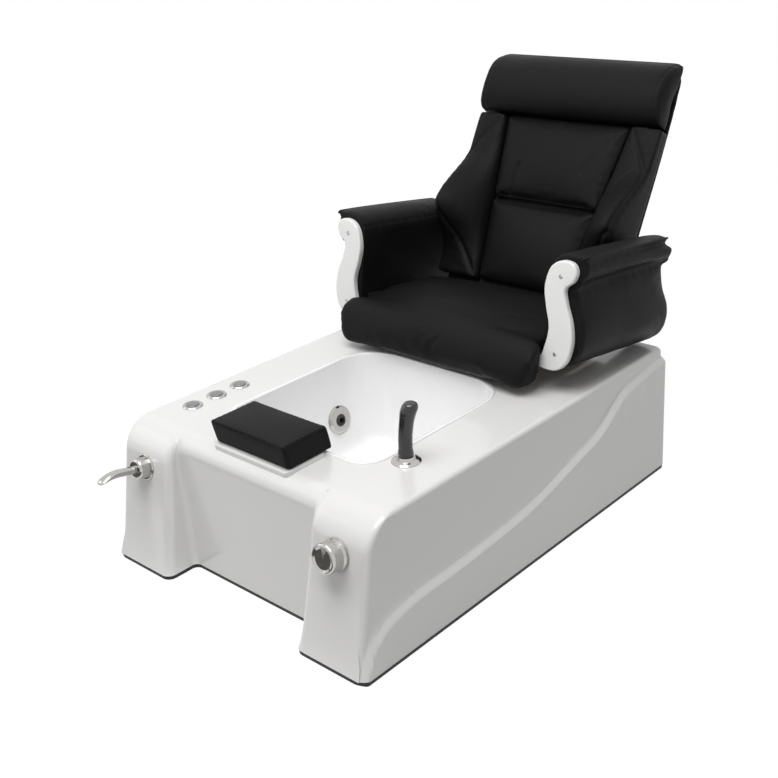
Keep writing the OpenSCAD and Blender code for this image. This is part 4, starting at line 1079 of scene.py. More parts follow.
    def tools(self) -> Form:
        """Everything that is cut out of the shell for what is fitted to it."""
        barrel = Form.turned([(17.8, 150.0), (17.8, 400.0)])
        holes = [barrel.moved(space((-300.0, -337.0 + 68.0 * k, 0.0))) for k in range(3)]
        holes.append(Form.turned([(17.3, 150.0), (17.3, 400.0)]).moved(space((*SHOWER_PLACE, 0.0))))
        neck = Form.turned([(16.3, -30.0), (16.3, -2.0), (28.3, -2.0), (28.3, 28.0)])
        holes += [neck.moved(on_leg(side)) for side in (-1, 1)]
        back, panel = self.length / 2, 170.0
        holes.append(Form.block((-195.0, back - 20.0, panel - 68.0), (195.0, back + 20.0, panel + 68.0)))
        holes.append(Form.turned([(16.32, -20.0), (16.32, 20.0)]).moved(space((0.0, back, 52.02), -90.0)))
        rear = space((0.0, back - self.draft * panel / self.deck, panel),
                     -90.0 + math.degrees(math.atan(self.draft / self.deck)))
        screw = Form.turned([(2.06, -20.0), (2.06, 20.0)], 16)
        holes += [screw.moved(rear @ space((x, y, 0.0))) for x in (-208.0, 0.0, 208.0) for y in (-81.0, 81.0)]
        return holes[0].joined(*holes[1:])

    def build(self, shop: Workshop, mouth: Array) -> None:
        """Makes the shell in place of its node."""
        shell = shop.raw("moulded_shell", self.form(mouth))
        shop.cut(shell, self.tools())
        shop.place(shell, Matrix(), Slot.GELCOAT, "base", ["base_shell"], sharp=32.0)


@dataclass
class FootBasin:
    """The drop-in basin: leaning walls, a rounded foot and a proud rolled lip."""

    width: float = 420.0
    length: float = 450.0
    floor: float = 92.0
    deck: float = DECK
    wall: float = 5.0
    round: float = 34.0
    lean: float = 42.0 / 220.0

    def outline(self, inside: float) -> Array:
        """Outline a run inside the mouth, about the basin's place; its corners tighten as it shrinks."""
        front = 48.0 - inside * (0.4 if inside > 0 else 1.0)
        rear = 95.0 - inside * (0.8 if inside > 0 else 1.0)
        return BASIN_PLACE + round_rect(self.width - 2 * inside, self.length - 2 * inside, front, rear, 20, 6)

    def foot(self, out: float, steps: int) -> list[tuple[float, float]]:
        """Runs and heights up the foot of the wall, moved out by the wall's thickness."""
        a = np.radians(np.linspace(90.0, 0.0, steps + 1))
        z = self.floor - out + self.round * (1 - np.sin(a))
        run = self.lean * (self.deck - np.maximum(self.floor, z)) - out + self.round * (1 - np.cos(a))
        return list(zip(run.tolist(), z.tolist()))

    def lip(self) -> list[tuple[float, float]]:
        """Runs and heights over the lip: a flat underside, a small edge, a round back and a soft inner roll."""
        a = np.radians(np.linspace(180.0, 90.0, 7))
        back = [(-7.0 + 3.0 * math.cos(t), 1.2 + 1.8 * math.sin(t)) for t in a]
        a = np.radians(np.linspace(80.0, 0.0, 8))
        front = [(-3.4 + 3.4 * math.cos(t), 3.0 * math.sin(t)) for t in a]
        return [(e, self.deck + z) for e, z in [(-5.0, 0.0), (-10.0, 0.0), *back, *front, (0.2, -3.0)]]

    def build(self, shop: Workshop) -> None:
        """Makes the basin in place of its node."""
        profile = [*self.foot(self.wall, 4), *self.lip(), *self.foot(0.0, 12)[::-1]]
        rings = np.stack([at_height(self.outline(e), z) for e, z in profile])
        tub = shop.raw("foot_tub", Form.skin(rings))
        jet = space((-184.8, -7.0, 180.0), 90.0 - math.degrees(math.atan(self.lean)), "Y")
        drain_hole = Form.turned([(19.52, 72.0), (19.52, 112.0)]).moved(space((0.0, -53.0, 0.0)))
        jet_hole = Form.turned([(20.3, -20.0), (20.3, 20.0)]).moved(jet)
        shop.cut(tub, drain_hole.joined(jet_hole))
        shop.place(tub, Matrix(), Slot.BASIN, "base", ["basin"], sharp=40.0)


@dataclass
class Controls:
    """The mixer's lever and the hand shower, drawn finer than their nodes."""

    lever: tuple[tuple[float, float, float, float], ...] = (
        (-8, 0, 10, 8), (0, 0, 10.5, 8.5), (8, 0, 10.2, 8.2), (18, 0.5, 10.4, 8.4), (33, 0.8, 11, 8.4),
        (48, -1, 11.6, 7.6), (60, -4.6, 12, 6.2), (71, -9.2, 11.4, 4.2), (76, -12, 8.4, 2.8))
    shower: tuple[tuple[float, float, float], ...] = (
        (13.3, 0, 1), (20, 0, 1.02), (26, 0, 0.96), (50, 0.5, 0.93), (72, 2, 0.95), (90, 4, 1),
        (103, 6, 1.1), (112, 8, 1.12), (119, 9, 1), (123.5, 9.5, 0.72), (125, 9.6, 0.3))
    shower_radius: float = 15.0

    def build(self, shop: Workshop) -> None:
        """Makes both in place of their nodes."""
        a = np.linspace(0, 2 * np.pi, 40, endpoint=False)[None]
        self.build_lever(shop, a)
        self.build_shower(shop, a)

    def build_lever(self, shop: Workshop, a: Array) -> None:
        """Makes the lever from oval sections at angles a, with a slot and a hole for its pin."""
        rows = np.array(self.lever)
        z = np.concatenate([[-8.0, -7.4], np.linspace(-6.0, 75.0, 60), [75.7, 76.0]])
        lean, wide, thick = (curve(rows[:, [0, k]], z)[:, None] for k in (1, 2, 3))
        end = np.sqrt(np.clip(1.0 - np.clip(np.abs(z - 34.0) - 40.0, 0, 2.0) ** 2 / 6.0, 0, 1))[:, None]
        rings = np.stack([wide * end * np.cos(a), lean + thick * end * np.sin(a), z[:, None] + 0 * a], -1)
        lever = shop.raw("lever", Form.skin(rings))
        pin = Form.turned([(2.5, -20.0), (2.5, 20.0)], 24).moved(space((0, 0, 0), 90.0, "Y"))
        shop.cut(lever, Form.block((-4.8, -20.0, -20.0), (4.8, 20.0, 7.0)))
        shop.cut(lever, pin)
        hub = on_leg(-1) @ space((0.0, 0.0, 40.3))
        shop.place(lever, hub, Slot.CHROME, "mixer_handle", ["mixer_lever"], sharp=40.0)

    def build_shower(self, shop: Workshop, a: Array) -> None:
        """Makes the shower's handle from round sections at angles a, with two fine grooves, over its stem."""
        rows = np.array(self.shower)
        z = np.concatenate([np.linspace(13.3, 119.0, 70), np.linspace(119.6, 125.0, 14)])
        lean, full = (curve(rows[:, [0, k]], z)[:, None] for k in (1, 2))
        grooves = 1.0 - 0.05 * np.exp(-((z - 30.0) / 1.1) ** 2) - 0.04 * np.exp(-((z - 97.0) / 0.9) ** 2)
        r = self.shower_radius * full * grooves[:, None]
        grip = np.stack([lean + r * np.cos(a), lean + r * np.sin(a), z[:, None] + 0 * a], -1)
        stem = 12.0 * np.stack([np.cos(a[0]), np.sin(a[0])], -1)
        foot = np.stack([at_height(stem, h) for h in (-40.0, 13.3)])
        handle = shop.raw("shower_handle", Form.skin(np.concatenate([foot, grip])))
        shop.place(handle, space((*SHOWER_PLACE, DECK)), Slot.SHOWER, "shower", ["hand_shower"], sharp=50.0)


# ------------------------------------------------------------------------------------------------ upholstery
def pillow(
    outline: Array, low: float, high: float, edge: float, crown: float, drawn: float, side: float = 0.0
) -> Form:
    """Cushion over an outline.

    The sides pull in between the corners by drawn times one minus the square of the place along the side. They
    bulge by side half way up. A quarter round of radius edge leads to the face, which rises by crown times the
    product of one minus the squares of both places.

    Args:
        outline: Points of the outline about its middle.
        low: Height of the flat back.
        high: Height of the face at its edge.
        edge: Radius of the round.
        crown: Rise of the face.
        drawn: How far the sides pull in.
        side: How far the sides bulge.

    Returns:
        The form, with Z out of the face.
    """
    half = np.abs(outline).max(0)
    share = outline / half
    sides = outline - drawn * np.sign(outline) * np.abs(share) * (1 - share[:, ::-1] ** 2)

    def shrunk(by: float) -> Array:
        """The sides' outline, smaller by the same length on each half axis."""
        return sides * (1 - by / half)

    levels = [(0.5 * half.min(), low), (edge * 0.5, low), (edge * 0.1, low + edge * 0.45)]
    for t in (0.25, 0.5, 0.75):
        levels.append((-side * math.sin(math.pi * t), mix(low + edge * 0.45, high - edge, t)))
    for a in np.radians(np.linspace(0, 90, 7)):
        levels.append((edge * (1 - math.cos(a)), high - edge + edge * math.sin(a)))
    rings = [at_height(shrunk(by), z) for by, z in levels]
    face = shrunk(edge)
    reach = np.abs(face).max(0)
    for f in (0.94, 0.86, 0.74, 0.6, 0.44, 0.26, 0.1):
        p = face * f
        rings.append(np.column_stack([p, high + crown * np.prod(1 - (p / reach) ** 2, axis=1)]))
    tips = [[0, 0, low], [0, 0, high + crown]]
    return Form.skin(np.stack(rings), tips)


@dataclass
class Seat:
    """The seat cushion, whose front rolls over in front of the arm caps."""

    half: float = 264.0
    board_half: float = 266.0
    board_top: float = 12.6
    apron: float = -4.8
    roll_half: float = 286.0
    roll: tuple[tuple[float, float], ...] = (
        (-4.8, -49), (-16, -55), (-34, -57), (-52, -57), (-61, -49), (-63, -34), (-59, -8), (-50, 16), (-34, 35),
        (-12, 45), (10, 46), (10, 20), (-4.8, 12), (-4.8, -10))

    def face(self, x: Array, d: Array) -> Array:
        """Height of the top over the board: rises from the front, sinks at the sides, and crowns in the middle."""
        rise = mix(34.0, 53.0, ease(np.clip(d / 60.0 - 1.0, -1.0, 1.0))) + 5.0 * ease((d - 170.0) / 70.0)
        return (rise * (1 - 0.1 * (x / self.board_half) ** 4)
                + 8.0 * (1 - (x / self.board_half) ** 2) * (1 - ((d - 150.0) / 170.0) ** 2))

    def form(self) -> Form:
        """The cushion over the board, and the roll in front, as two closed surfaces that overlap."""
        length, edge = 300.0, 15.0
        middle = np.array([0.0, 126.0])
        half = np.array([self.half, length / 2])
        outline = round_rect(2 * self.half, length, 12.0, 28.0, 8, 24) + middle
        levels = [(120.0, 0.0), (7.0, 0.0), (1.5, 0.12)]
        for a in np.radians(np.linspace(0, 90, 8)):
            levels.append((edge * (1 - math.cos(a)), 0.25 + 0.75 * math.sin(a)))
        rings = []
        for by, share in levels:
            p = middle + (outline - middle) * (1 - by / half)
            rings.append(np.column_stack([p, self.board_top + self.face(p[:, 0], p[:, 1]) * share]))
        inner = middle + (outline - middle) * (1 - edge / half)
        for f in (0.93, 0.84, 0.72, 0.58, 0.42, 0.24, 0.08):
            p = middle + (inner - middle) * f
            rings.append(np.column_stack([p, self.board_top + self.face(p[:, 0], p[:, 1])]))
        tips = [[*middle, self.board_top], [*middle, self.board_top + float(self.face(*middle))]]
        cushion = Form.skin(np.stack(rings), tips)
        section = loop_curve(self.roll, 4)
        section[:, 0] = np.where(section[:, 1] < 11.0, np.minimum(section[:, 0], self.apron), section[:, 0])
        x, roundness = rounded_run(self.roll_half, 22.0, 61)
        full = (0.68 + 0.32 * roundness)[:, None]
        mid = np.array([-34.0, -6.0])
        d = np.where(section[None, :, 0] < -5, mid[0] + (section[None, :, 0] - mid[0]) * full, section[None, :, 0])
        w = mid[1] + (section[None, :, 1] - mid[1]) * full
        narrow = 1 - 0.075 * np.clip((14.0 - w) / 70.0, 0, 1) ** 1.3
        wide = np.where(d > -4.5, np.clip(x[:, None], -self.half + 4, self.half - 4), x[:, None])
        return cushion.joined(Form.skin(np.stack([wide * narrow, d, w], -1)))

    def held(self, p: Array) -> Array:
        """Fixed on the board, behind the apron, at the back and beside the arms."""
        x, d, w = p.T
        board = (w < 17.0) & (d > -8.0)
        rear = (d > -7.0) & (w < 12.0)
        arms = (np.abs(x) > self.half - 10) & (w < 44.0) & (d > -3.0)
        return (board | rear | arms | (d > 270.0)).astype(float)

    def fit(self, p: Array) -> Array:
        """Keeps clear of the arms, the caps, the board and the backrest."""
        x, d, w = p.T
        wide = np.where(d > -6.0, 265.5, self.roll_half + 8)
        x = np.clip(x, -wide, wide)
        d = np.where((w < 12.5) & (np.abs(x) < 300), np.minimum(d, -4.4), np.minimum(d, 279.0))
        w = np.where(d > -4.3, np.maximum(w, 12.4), np.maximum(w, (0.1305 * d - 54.2) / 0.9914))
        return np.stack([x, np.maximum(d, -67.0), w], -1)

    def build(self, shop: Workshop) -> None:
        """Makes the cushion in place of both its nodes."""
        pad = shop.raw("seat_pad", self.form())
        shop.fill(pad, self.held, travel=9.0, voxel=6.0, smooth=4)
        seams = []
        t = np.linspace(0, 1, 40)
        for side in (-1, 1):
            forward = np.sin(np.pi * np.clip(t * 1.2, 0, 1) / 2)
            end = np.stack([side * mix(281.0, 268.0, t**1.3), mix(-6.0, -62.0, forward), mix(44.0, -52.0, t)], -1)
            seams.append(Seam(end, 3.2, 3.6, 1.0, 14.0, 21.0))
        x, d = np.linspace(-230, 230, 60), np.full(60, 252.0)
        back = np.stack([x, d, self.board_top + self.face(x, d)], -1)
        seams.append(Seam(back, 0.0, 4.0, 1.4, 22.0, 31.0))
        for x0, x1, d0, d1 in ((120, 236, -20, 40), (60, 190, 20, 85), (-210, -120, 0, 45)):
            line = np.stack([mix(x0, x1, t), mix(d0, d1, t) + 6 * np.sin(3 * t), 0 * t], -1)
            line[:, 2] = self.board_top + self.face(line[:, 0], np.maximum(line[:, 1], 0))
            seams.append(Seam(line, 1.3, 9.0))
        shop.sew(pad, seams, self.fit)
        shop.place(pad, SEAT, Slot.LEATHER, "seat_unit", ["seat_cushion", "seat_front_roll"])
        for side, x in (("right", 269.2), ("left", -269.2)):
            line = np.stack([np.full(12, x), np.full(12, -2.6), np.linspace(-9.0, 20.0, 12)], -1)
            shop.place(shop.cord(f"seat_welt_{side}", line, 2.9), SEAT, Slot.LEATHER, "seat_unit")


@dataclass
class Arms:
    """Padded scroll arms with a lip over a long groove, and their moulded caps."""

    section: tuple[tuple[float, float], ...] = (
        (6, -8), (0.6, 4), (0, 45), (0, 90), (-4, 140), (-5, 185), (0, 217), (18, 236), (45, 243), (70, 243),
        (90, 240), (84, 228), (87, 212), (84, 195), (70, 180), (65, 162), (74, 128), (90, 90), (92, 52), (78, 16),
        (42, -8))
    cap: tuple[tuple[float, float], ...] = (
        (-5, -7), (4, 28), (12, 60), (13, 88), (3, 125), (-4, 165), (4, 203), (20, 222), (42, 229), (64, 224),
        (73, 206), (66, 186), (48, 168), (54, 137), (70, 95), (75, 50), (63, 9), (36, -11))
    inside: float = 272.0
    cap_depth: float = 14.0
    run: float = 361.0

    def across(self, section: Array, share: Array, full: Array) -> tuple[Array, Array]:
        """Section at shares of the arm's length: it widens by 6 and its groove climbs by 14 to the rear."""
        x, z = section[None, :, 0], section[None, :, 1]
        share, full = share[:, None], full[:, None]
        lift = np.where(x < 55, 0.0, 14.0 * np.clip(1 - np.abs(z - 170.0) / 50.0, 0, None))
        z = z + share * lift
        lip = np.clip((x - 45.0) / 30.0, 0, 1) * (section[None, :, 1] > 222)
        wide = np.where(x > 20, 20 + (x - 20) * full + 6.0 * share, x + 0 * full) - 17.0 * share * lip
        high = np.where(z > 200, 200 + (z - 200) * full, z * full)
        return self.inside + wide, high

    def fullness(self, share: Array) -> Array:
        """How full the section is along the arm: drawn in at both ends and fullest in the middle."""
        knots = [(0, 0.9), (0.008, 0.955), (0.03, 0.99), (0.16, 1.015), (0.373, 1.025), (0.613, 1.02), (0.8, 1.01),
                 (0.94, 0.995), (0.98, 0.96), (1, 0.9)]
        return curve(knots, share)

    def form(self) -> Form:
        """The padded arm from its cap to its rear."""
        share = np.concatenate([[0, 0.004, 0.012], np.linspace(0.03, 0.95, 50), [0.97, 0.985, 0.995, 1.0]])
        x, z = self.across(loop_curve(self.section, 6), share, self.fullness(share))
        d = self.cap_depth + 0.6 + share[:, None] * (self.run - 1.2) + 0 * x
        tips = [[self.inside + 10, float(d[k, 0]), 155.0] for k in (0, -1)]
        return Form.skin(np.stack([x, d, z], -1), tips)

    def held(self, p: Array) -> Array:
        """Fixed on the cap, on the board beside the seat and along the lip."""
        x, d, w = p.T
        side = (x < self.inside + 8) & (w < 175)
        lip = (x > self.inside + 78) & (w > 224)
        groove = (x > self.inside + 52) & (np.abs(w - 172 - 14 * (d - 14) / self.run) < 10)
        return ((d < 21) | side | lip | (w < 0) | groove).astype(float)

    def fit(self, p: Array) -> Array:
        """Keeps clear of the seat, the backrest and the cap."""
        x, d, w = p.T
        return np.stack([np.maximum(x, self.inside - 5.6), np.clip(d, self.cap_depth + 0.2, 383.0), w], -1)

    def along(self, x: float, z: float, low: float = 0.0, high: float = 1.0) -> Array:
        """Line along the arm through one point of its section."""
        share = np.linspace(low, high, 60)
        xs, zs = self.across(np.array([[x, z]], float), share, self.fullness(share))
        return np.stack([xs[:, 0], self.cap_depth + share * self.run, zs[:, 0]], -1)

    def build(self, shop: Workshop) -> None:
        """Makes both arms, their piping and their caps."""
        pad = shop.raw("arm_pad_right", self.form())
        shop.fill(pad, self.held, travel=7.0, voxel=5.5, smooth=1)
        seams = [
            Seam(self.along(84, 228), 1.2, 3.6, 0.3, 15.0, 26.0),
            Seam(self.along(66, 168), 2.5, 6.0, 0.6, 22.0, 41.0),
            Seam(self.along(2, 214), 1.4, 3.0, 0.5, 13.0, 34.0),
            Seam(self.along(50, -6), 0.0, 3.0, 1.0, 26.0, 37.0),
        ]
        loop = loop_curve(self.section, 4)
        share = np.array([0.02])
        x, z = self.across(loop, share, self.fullness(share))
        ring = np.stack([x[0], np.full(len(loop), self.cap_depth + 0.02 * self.run), z[0]], -1)
        seams.append(Seam(ring, 1.4, 3.0, 0.3, 14.0, 23.0))
        shop.sew(pad, seams, self.fit)
        other = shop.twin(pad, "arm_pad_left")
        shop.place(pad, SEAT, Slot.LEATHER, "seat_unit", ["arm_right"])
        shop.place(other, SEAT @ MIRROR, Slot.LEATHER, "seat_unit", ["arm_left"])
        for side, turn in (("right", SEAT), ("left", SEAT @ MIRROR)):
            welt = shop.cord(f"arm_welt_{side}", self.along(88.5, 239.5, 0.003, 0.975), 2.6)
            shop.place(welt, turn, Slot.LEATHER, "seat_unit")
            self.build_cap(shop, side, turn)

    def build_cap(self, shop: Workshop, side: str, turn: Matrix) -> None:
        """Makes one cap: its section with a 4.5 mm round to the front and two sunk screw holes."""
        loop = loop_curve(self.cap, 8)
        slope = np.roll(loop, -1, 0) - np.roll(loop, 1, 0)
        out = np.stack([slope[:, 1], -slope[:, 0]], -1) / np.linalg.norm(slope, axis=1, keepdims=True)
        if np.sum(out * (loop - loop.mean(0))) < 0:
            out = -out
        rings = []
        for by, d in [(0.8, 14.0), (0.0, 13.2), (0.0, 5.0)] + [
                (4.5 * (1 - math.cos(a)), 4.5 - 4.5 * math.sin(a)) for a in np.radians(np.linspace(10, 90, 8))]:
            p = loop - out * by
            rings.append(np.stack([self.inside + p[:, 0], np.full(len(p), d), p[:, 1]], -1))
        cap = shop.raw(f"cap_{side}", Form.skin(np.stack(rings), flat=True))
        tools = [Form.turned([(2.2, -16.0), (2.2, -3.0), (5.0, -3.0), (5.0, 2.0)]).moved(
            space((self.inside + 36.0, 0.0, z), 90.0)) for z in (25.0, 194.0)]
        shop.cut(cap, tools[0].joined(tools[1]))
        shop.place(cap, turn, Slot.CAP, "seat_unit", [f"arm_cap_{side}"], sharp=30.0)


@dataclass
class Backrest:
    """Head roll, two middle pads, wings and the padded rear cover."""

    half: float = 270.0
    roll_low: float = 430.0
    height: float = 582.0
    lumbar_top: float = 213.0
    pad_foot: float = 128.0
    pad_head: float = 180.0
    wing_tall: float = 426.0
    crest: tuple[tuple[float, float], ...] = (
        (0, 2), (0.10, 4), (0.15, 11), (0.20, 26), (0.25, 51), (0.30, 80), (0.35, 99), (0.395, 103), (0.45, 95),
        (0.51, 81), (0.57, 64), (0.63, 45), (0.68, 29), (0.73, 16), (0.78, 10), (0.87, 8), (1, 7))
    wing_face: tuple[tuple[float, float, float], ...] = (
        (0, 6, 0), (0.05, 7, 0.10), (0.16, 10, 0.27), (0.34, 9, 0.52), (0.54, 7, 0.76), (0.70, 4, 0.92),
        (0.83, 2, 1.0), (0.95, 0, 0.93), (1, 0, 0.72))
    wing_seam: tuple[tuple[float, float], ...] = (
        (0, 0.95), (0.6, 0.95), (0.75, 0.88), (0.85, 0.62), (0.94, 0.3), (1, 0.12))
    roll_section: tuple[tuple[float, float], ...] = (
        (21.6, 0.02), (2, 0), (-18, 0.018), (-37, 0.14), (-46, 0.34), (-44, 0.56), (-32, 0.77), (-12, 0.93), (6, 1),
        (21.6, 0.985))
    roll_flare: tuple[tuple[float, float], ...] = ((0, 0.965), (0.45, 0.95), (0.8, 0.968), (1, 0.978))

    def pad_half(self, s: Array) -> Array:
        """Half width of the middle pads at a height."""
        return mix(self.pad_foot, self.pad_head, s / self.roll_low)

    def wing_sides(self, w: Array) -> tuple[Array, Array]:
        """Inner and outer side of the right wing at a height."""
        return self.pad_half(w) + 1.6, mix(261.0, 264.0, w / self.wing_tall)

    def middle(self, shop: Workshop, name: str, low: float, high: float, crown: float, node: str) -> None:
        """Makes one middle pad, whose sides follow the wings.

        Args:
            shop: The workshop.
            name: Name of the piece.
            low: Its lower edge along the backrest.
            high: Its upper edge.
            crown: Rise of its face.
            node: The node that it stands for.
        """
        mid, wide = (low + high) / 2, self.pad_half(high)
        outline = round_rect(2 * wide, high - low, 9.0, 9.0, 5, 20)
        outline[:, 0] *= self.pad_half(mid + outline[:, 1]) / wide
        form = pillow(outline, -21.5, 5.0, 16.0, crown, 1.0, 0.6)
        pad = shop.raw(name, form)

        def held(p: Array) -> Array:
            """Fixed on the board and along the sides."""
            return (p[:, 2] < -4.0).astype(float)

        def fit(p: Array) -> Array:
            """Keeps clear of the wings, the other pads and the board."""
            room = self.pad_half(mid + p[:, 1]) + 0.4
            return np.stack([np.clip(p[:, 0], -room, room), np.clip(p[:, 1], low - mid - 0.4, high - mid + 0.4),
                             np.maximum(p[:, 2], -21.6)], -1)

        shop.fill(pad, held, travel=9.0, voxel=5.0, smooth=2)
        t = np.linspace(0, 1, 30)
        seams = [Seam(joined_up(at_height(outline * 0.955, 6.0)), 0.0, 4.0, 0.9, 18.0, 31.0)]
        fold = (low if node == "upper_pad" else high) - mid
        crease = np.stack([mix(-128.0, 118.0, t), np.full(30, fold * 0.985), np.full(30, 1.0)], -1)
        seams.append(Seam(crease, 5.0, 11.0))
        if node == "upper_pad":
            a = np.stack([mix(-106, -92, t) - 4 * np.sin(3 * t), mix(-104, -22, t), mix(6, 14.5, t)], -1)
            b = np.stack([mix(158, 96, t) - 8 * np.sin(3 * t), mix(92, -20, t), mix(9, 18, t)], -1)
            c = np.stack([mix(-20, 30, t), mix(-96, -88, t), mix(8, 8, t)], -1)
            seams += [Seam(a, 5.0, 6.5), Seam(b, 1.9, 8.0), Seam(c, 1.4, 8.0)]
        shop.sew(pad, seams, fit)
        shop.place(pad, BACK @ space((0.0, 0.0, mid), 90.0), Slot.LEATHER, "backrest", [node])

    def build_roll(self, shop: Workshop) -> None:
        """Makes the head roll: a full section with a waist under flared top corners."""
        tall = self.height - self.roll_low
        loop = loop_curve(self.roll_section, 5)
        x, roundness = rounded_run(self.half, 26.0, 60)
        full = (0.68 + 0.32 * roundness)[:, None]
        share = 0.5 + (loop[None, :, 1] - 0.5) * (0.955 + 0.045 * full)
        share = share - 0.11 * (1 - roundness)[:, None] * np.clip(2 * share - 1, 0, 1)
        q = np.where(loop[None, :, 0] > 5, loop[None, :, 0], 5 + (loop[None, :, 0] - 5) * full)
        flare = curve(self.roll_flare, np.clip(share, 0, 1))
        rings = np.stack([x[:, None] * flare, np.minimum(q, 21.7), self.roll_low + share * tall], -1)
        pad = shop.raw("head_pad", Form.skin(rings))

        def held(p: Array) -> Array:
            """Fixed on the board."""
            return (p[:, 1] > 8.0).astype(float)

        def fit(p: Array) -> Array:
            """Keeps clear of the pads under it and of the board."""
            low = self.roll_low - 4.0 * ease((-p[:, 1] - 24.0) / 8.0) + 0.4
            return np.stack([p[:, 0], np.minimum(p[:, 1], 21.8), np.maximum(p[:, 2], low)], -1)

        shop.fill(pad, held, travel=8.0, voxel=5.5, smooth=2)
        seams = []
        for side in (-1, 1):
            x_end = side * (self.half - 18.0) * curve(self.roll_flare, np.clip(loop[:, 1], 0, 1))
            line = np.stack([x_end, loop[:, 0] * 0.97, self.roll_low + loop[:, 1] * tall], -1)[loop[:, 0] < 14]
            seams.append(Seam(line, 2.2, 3.0, 0.5, 18.0, 29.0))
        shop.sew(pad, seams, fit)
        shop.place(pad, BACK, Slot.LEATHER, "backrest", ["head_roll"])

    def wing_form(self) -> Form:
        """The right wing: its section swells from the middle pads to a crest near its outer side."""
        tall = self.wing_tall
        s = np.concatenate([
            [0, 2, 5, 9, 14], np.linspace(20, tall - 22, 60), [tall - 14, tall - 7, tall - 2, tall]])
        low = np.clip(1 - s / 14.0, 0, 1)
        top = np.clip(1 - (tall - s) / 22.0, 0, 1) * 0.4
        end = np.maximum(low, top)
        p = (curve(self.crest, s / tall) * (1 - 0.25 * end**2))[:, None]
        inner, outer = self.wing_sides(s)
        xi, xo = inner[:, None], (outer - 6 * end**2)[:, None]
        k = xo - xi
        one = np.ones_like(p)
        face = [(xi + place * k, -base - rise * p) for place, base, rise in self.wing_face[1:-1]]
        knots = [(xi, 21.6 * one), (xi, 6 * one), *face, (xo, -0.72 * p), (xo + 1, -0.35 * p), (xo, 10 * one),
                 (xo - 1, 31 * one), (xo - 6, 36.4 * one), (236 * one, 36.4 * one), (236 * one, 21.6 * one)]
        x = np.concatenate([c[0] for c in knots], 1)
        q = np.concatenate([c[1] + 0 * p for c in knots], 1)
        fine = np.linspace(0, 1, 5)[:-1][None, None]
        x, q = (mix(v[..., None], np.roll(v, -1, 1)[..., None], fine).reshape(len(s), -1) for v in (x, q))
        rings = np.stack([x, q, s[:, None] + 0 * x], -1)
        return Form.skin(rings, [[245, 5, 0], [245, 5, tall]])

    def on_wing(self, w: Array, u: Array, out: float) -> Array:
        """Line on the right wing's face.

        Args:
            w: Heights.
            u: Shares of the way from the inner to the outer side.
            out: How far the line stands in front of the form.

        Returns:
            The points.
        """
        knots = np.array(self.wing_face)
        base, rise = (np.interp(u, knots[:, 0], knots[:, k]) for k in (1, 2))
        q = -base - rise * curve(self.crest, w / self.wing_tall) - out
        return np.stack([mix(*self.wing_sides(w), u), q, w], -1)

    def build_wings(self, shop: Workshop) -> None:
        """Makes both wings."""
        tall = self.wing_tall
        pad = shop.raw("wing_pad_right", self.wing_form())

        def held(p: Array) -> Array:
            """Fixed on the board, along the middle pads, beside the arm and along the front welt."""
            x, q, w = p.T
            crest = -curve(self.crest, np.clip(w / tall, 0, 1))
            welt = (x > 246) & (q < crest * 0.86)
            return ((q > 2) | (x > 259) | (w < 5) | welt).astype(float)

        def fit(p: Array) -> Array:
            """Keeps clear of the middle pads, the arm, the head roll and the board."""
            x, q, w = p.T
            x = np.clip(x, self.pad_half(w) + 1.2, 264.8)
            q = np.where(x < 234, np.minimum(q, 21.8), q)
            return np.stack([x, q, np.clip(w, -1.0, tall + 3.0)], -1)

        shop.fill(pad, held, travel=10.0, voxel=5.5, smooth=2)
        w, t = np.linspace(30, tall - 2, 90), np.linspace(0, 1, 60)
        welt = self.on_wing(w, curve(self.wing_seam, w / tall), 3.0)
        fold = self.on_wing(mix(0.36, 0.04, t) * tall, mix(0.94, 0.10, t**0.9), 2.0)
        shop.sew(pad, [Seam(welt, 4.5, 5.0, 0.9, 20.0, 29.0), Seam(fold, 5.0, 7.0)], fit)
        other = shop.twin(pad, "wing_pad_left")
        shop.place(pad, BACK, Slot.LEATHER, "backrest", ["wing_right"])
        shop.place(other, BACK @ MIRROR, Slot.LEATHER, "backrest", ["wing_left"])

    def build_cover(self, shop: Workshop) -> None:
        """Makes the rear cover: a shallow pad with a sewn frame and a seam across it."""
        outline = round_rect(2 * (self.half - 8), self.height - 6, 24.0, 30.0, 6, 24)
        outline[:, 0] *= 1.0 - 0.05 * np.clip(-2 * outline[:, 1] / self.height, 0, 1) ** 2
        pad = shop.raw("rear_pad", pillow(outline, 0.4, 22.0, 19.0, 15.0, 3.0))

        def held(p: Array) -> Array:
            """Fixed on the board and along its sewn frame."""
            rim = np.maximum(np.abs(p[:, 0]) / (self.half - 44), np.abs(p[:, 1]) / (self.height / 2 - 40))
            return ((p[:, 2] < 6.0) | (np.abs(rim - 1) < 0.02)).astype(float)

        def fit(p: Array) -> Array:
            """Keeps clear of the board."""
            return np.stack([p[:, 0], p[:, 1], np.maximum(p[:, 2], 0.3)], -1)

        shop.fill(pad, held, travel=6.0, voxel=6.5, smooth=2)
        frame = round_rect(2 * (self.half - 44), self.height - 80, 22.0, 22.0, 6, 24)
        half = np.array([self.half - 27.0, self.height / 2 - 22])
        line = np.column_stack([frame, 22.0 + 15.0 * np.prod(1 - (frame / half) ** 2, axis=1)])
        x = np.linspace(-self.half + 44, self.half - 44, 60)
        across = np.stack([x, np.full(60, 96.0), 22 + 15 * (1 - (x / half[0]) ** 2) * (1 - (96 / half[1]) ** 2)], -1)
        seams = [Seam(joined_up(line), 3.0, 4.0, 1.4, 20.0, 26.0), Seam(across, 2.6, 4.0, 1.2, 20.0, 31.0)]
        shop.sew(pad, seams, fit)
        rear = BACK @ space((0.0, 37.0, self.height / 2), -90.0)
        shop.place(pad, rear, Slot.LEATHER, "backrest", ["back_cover"])

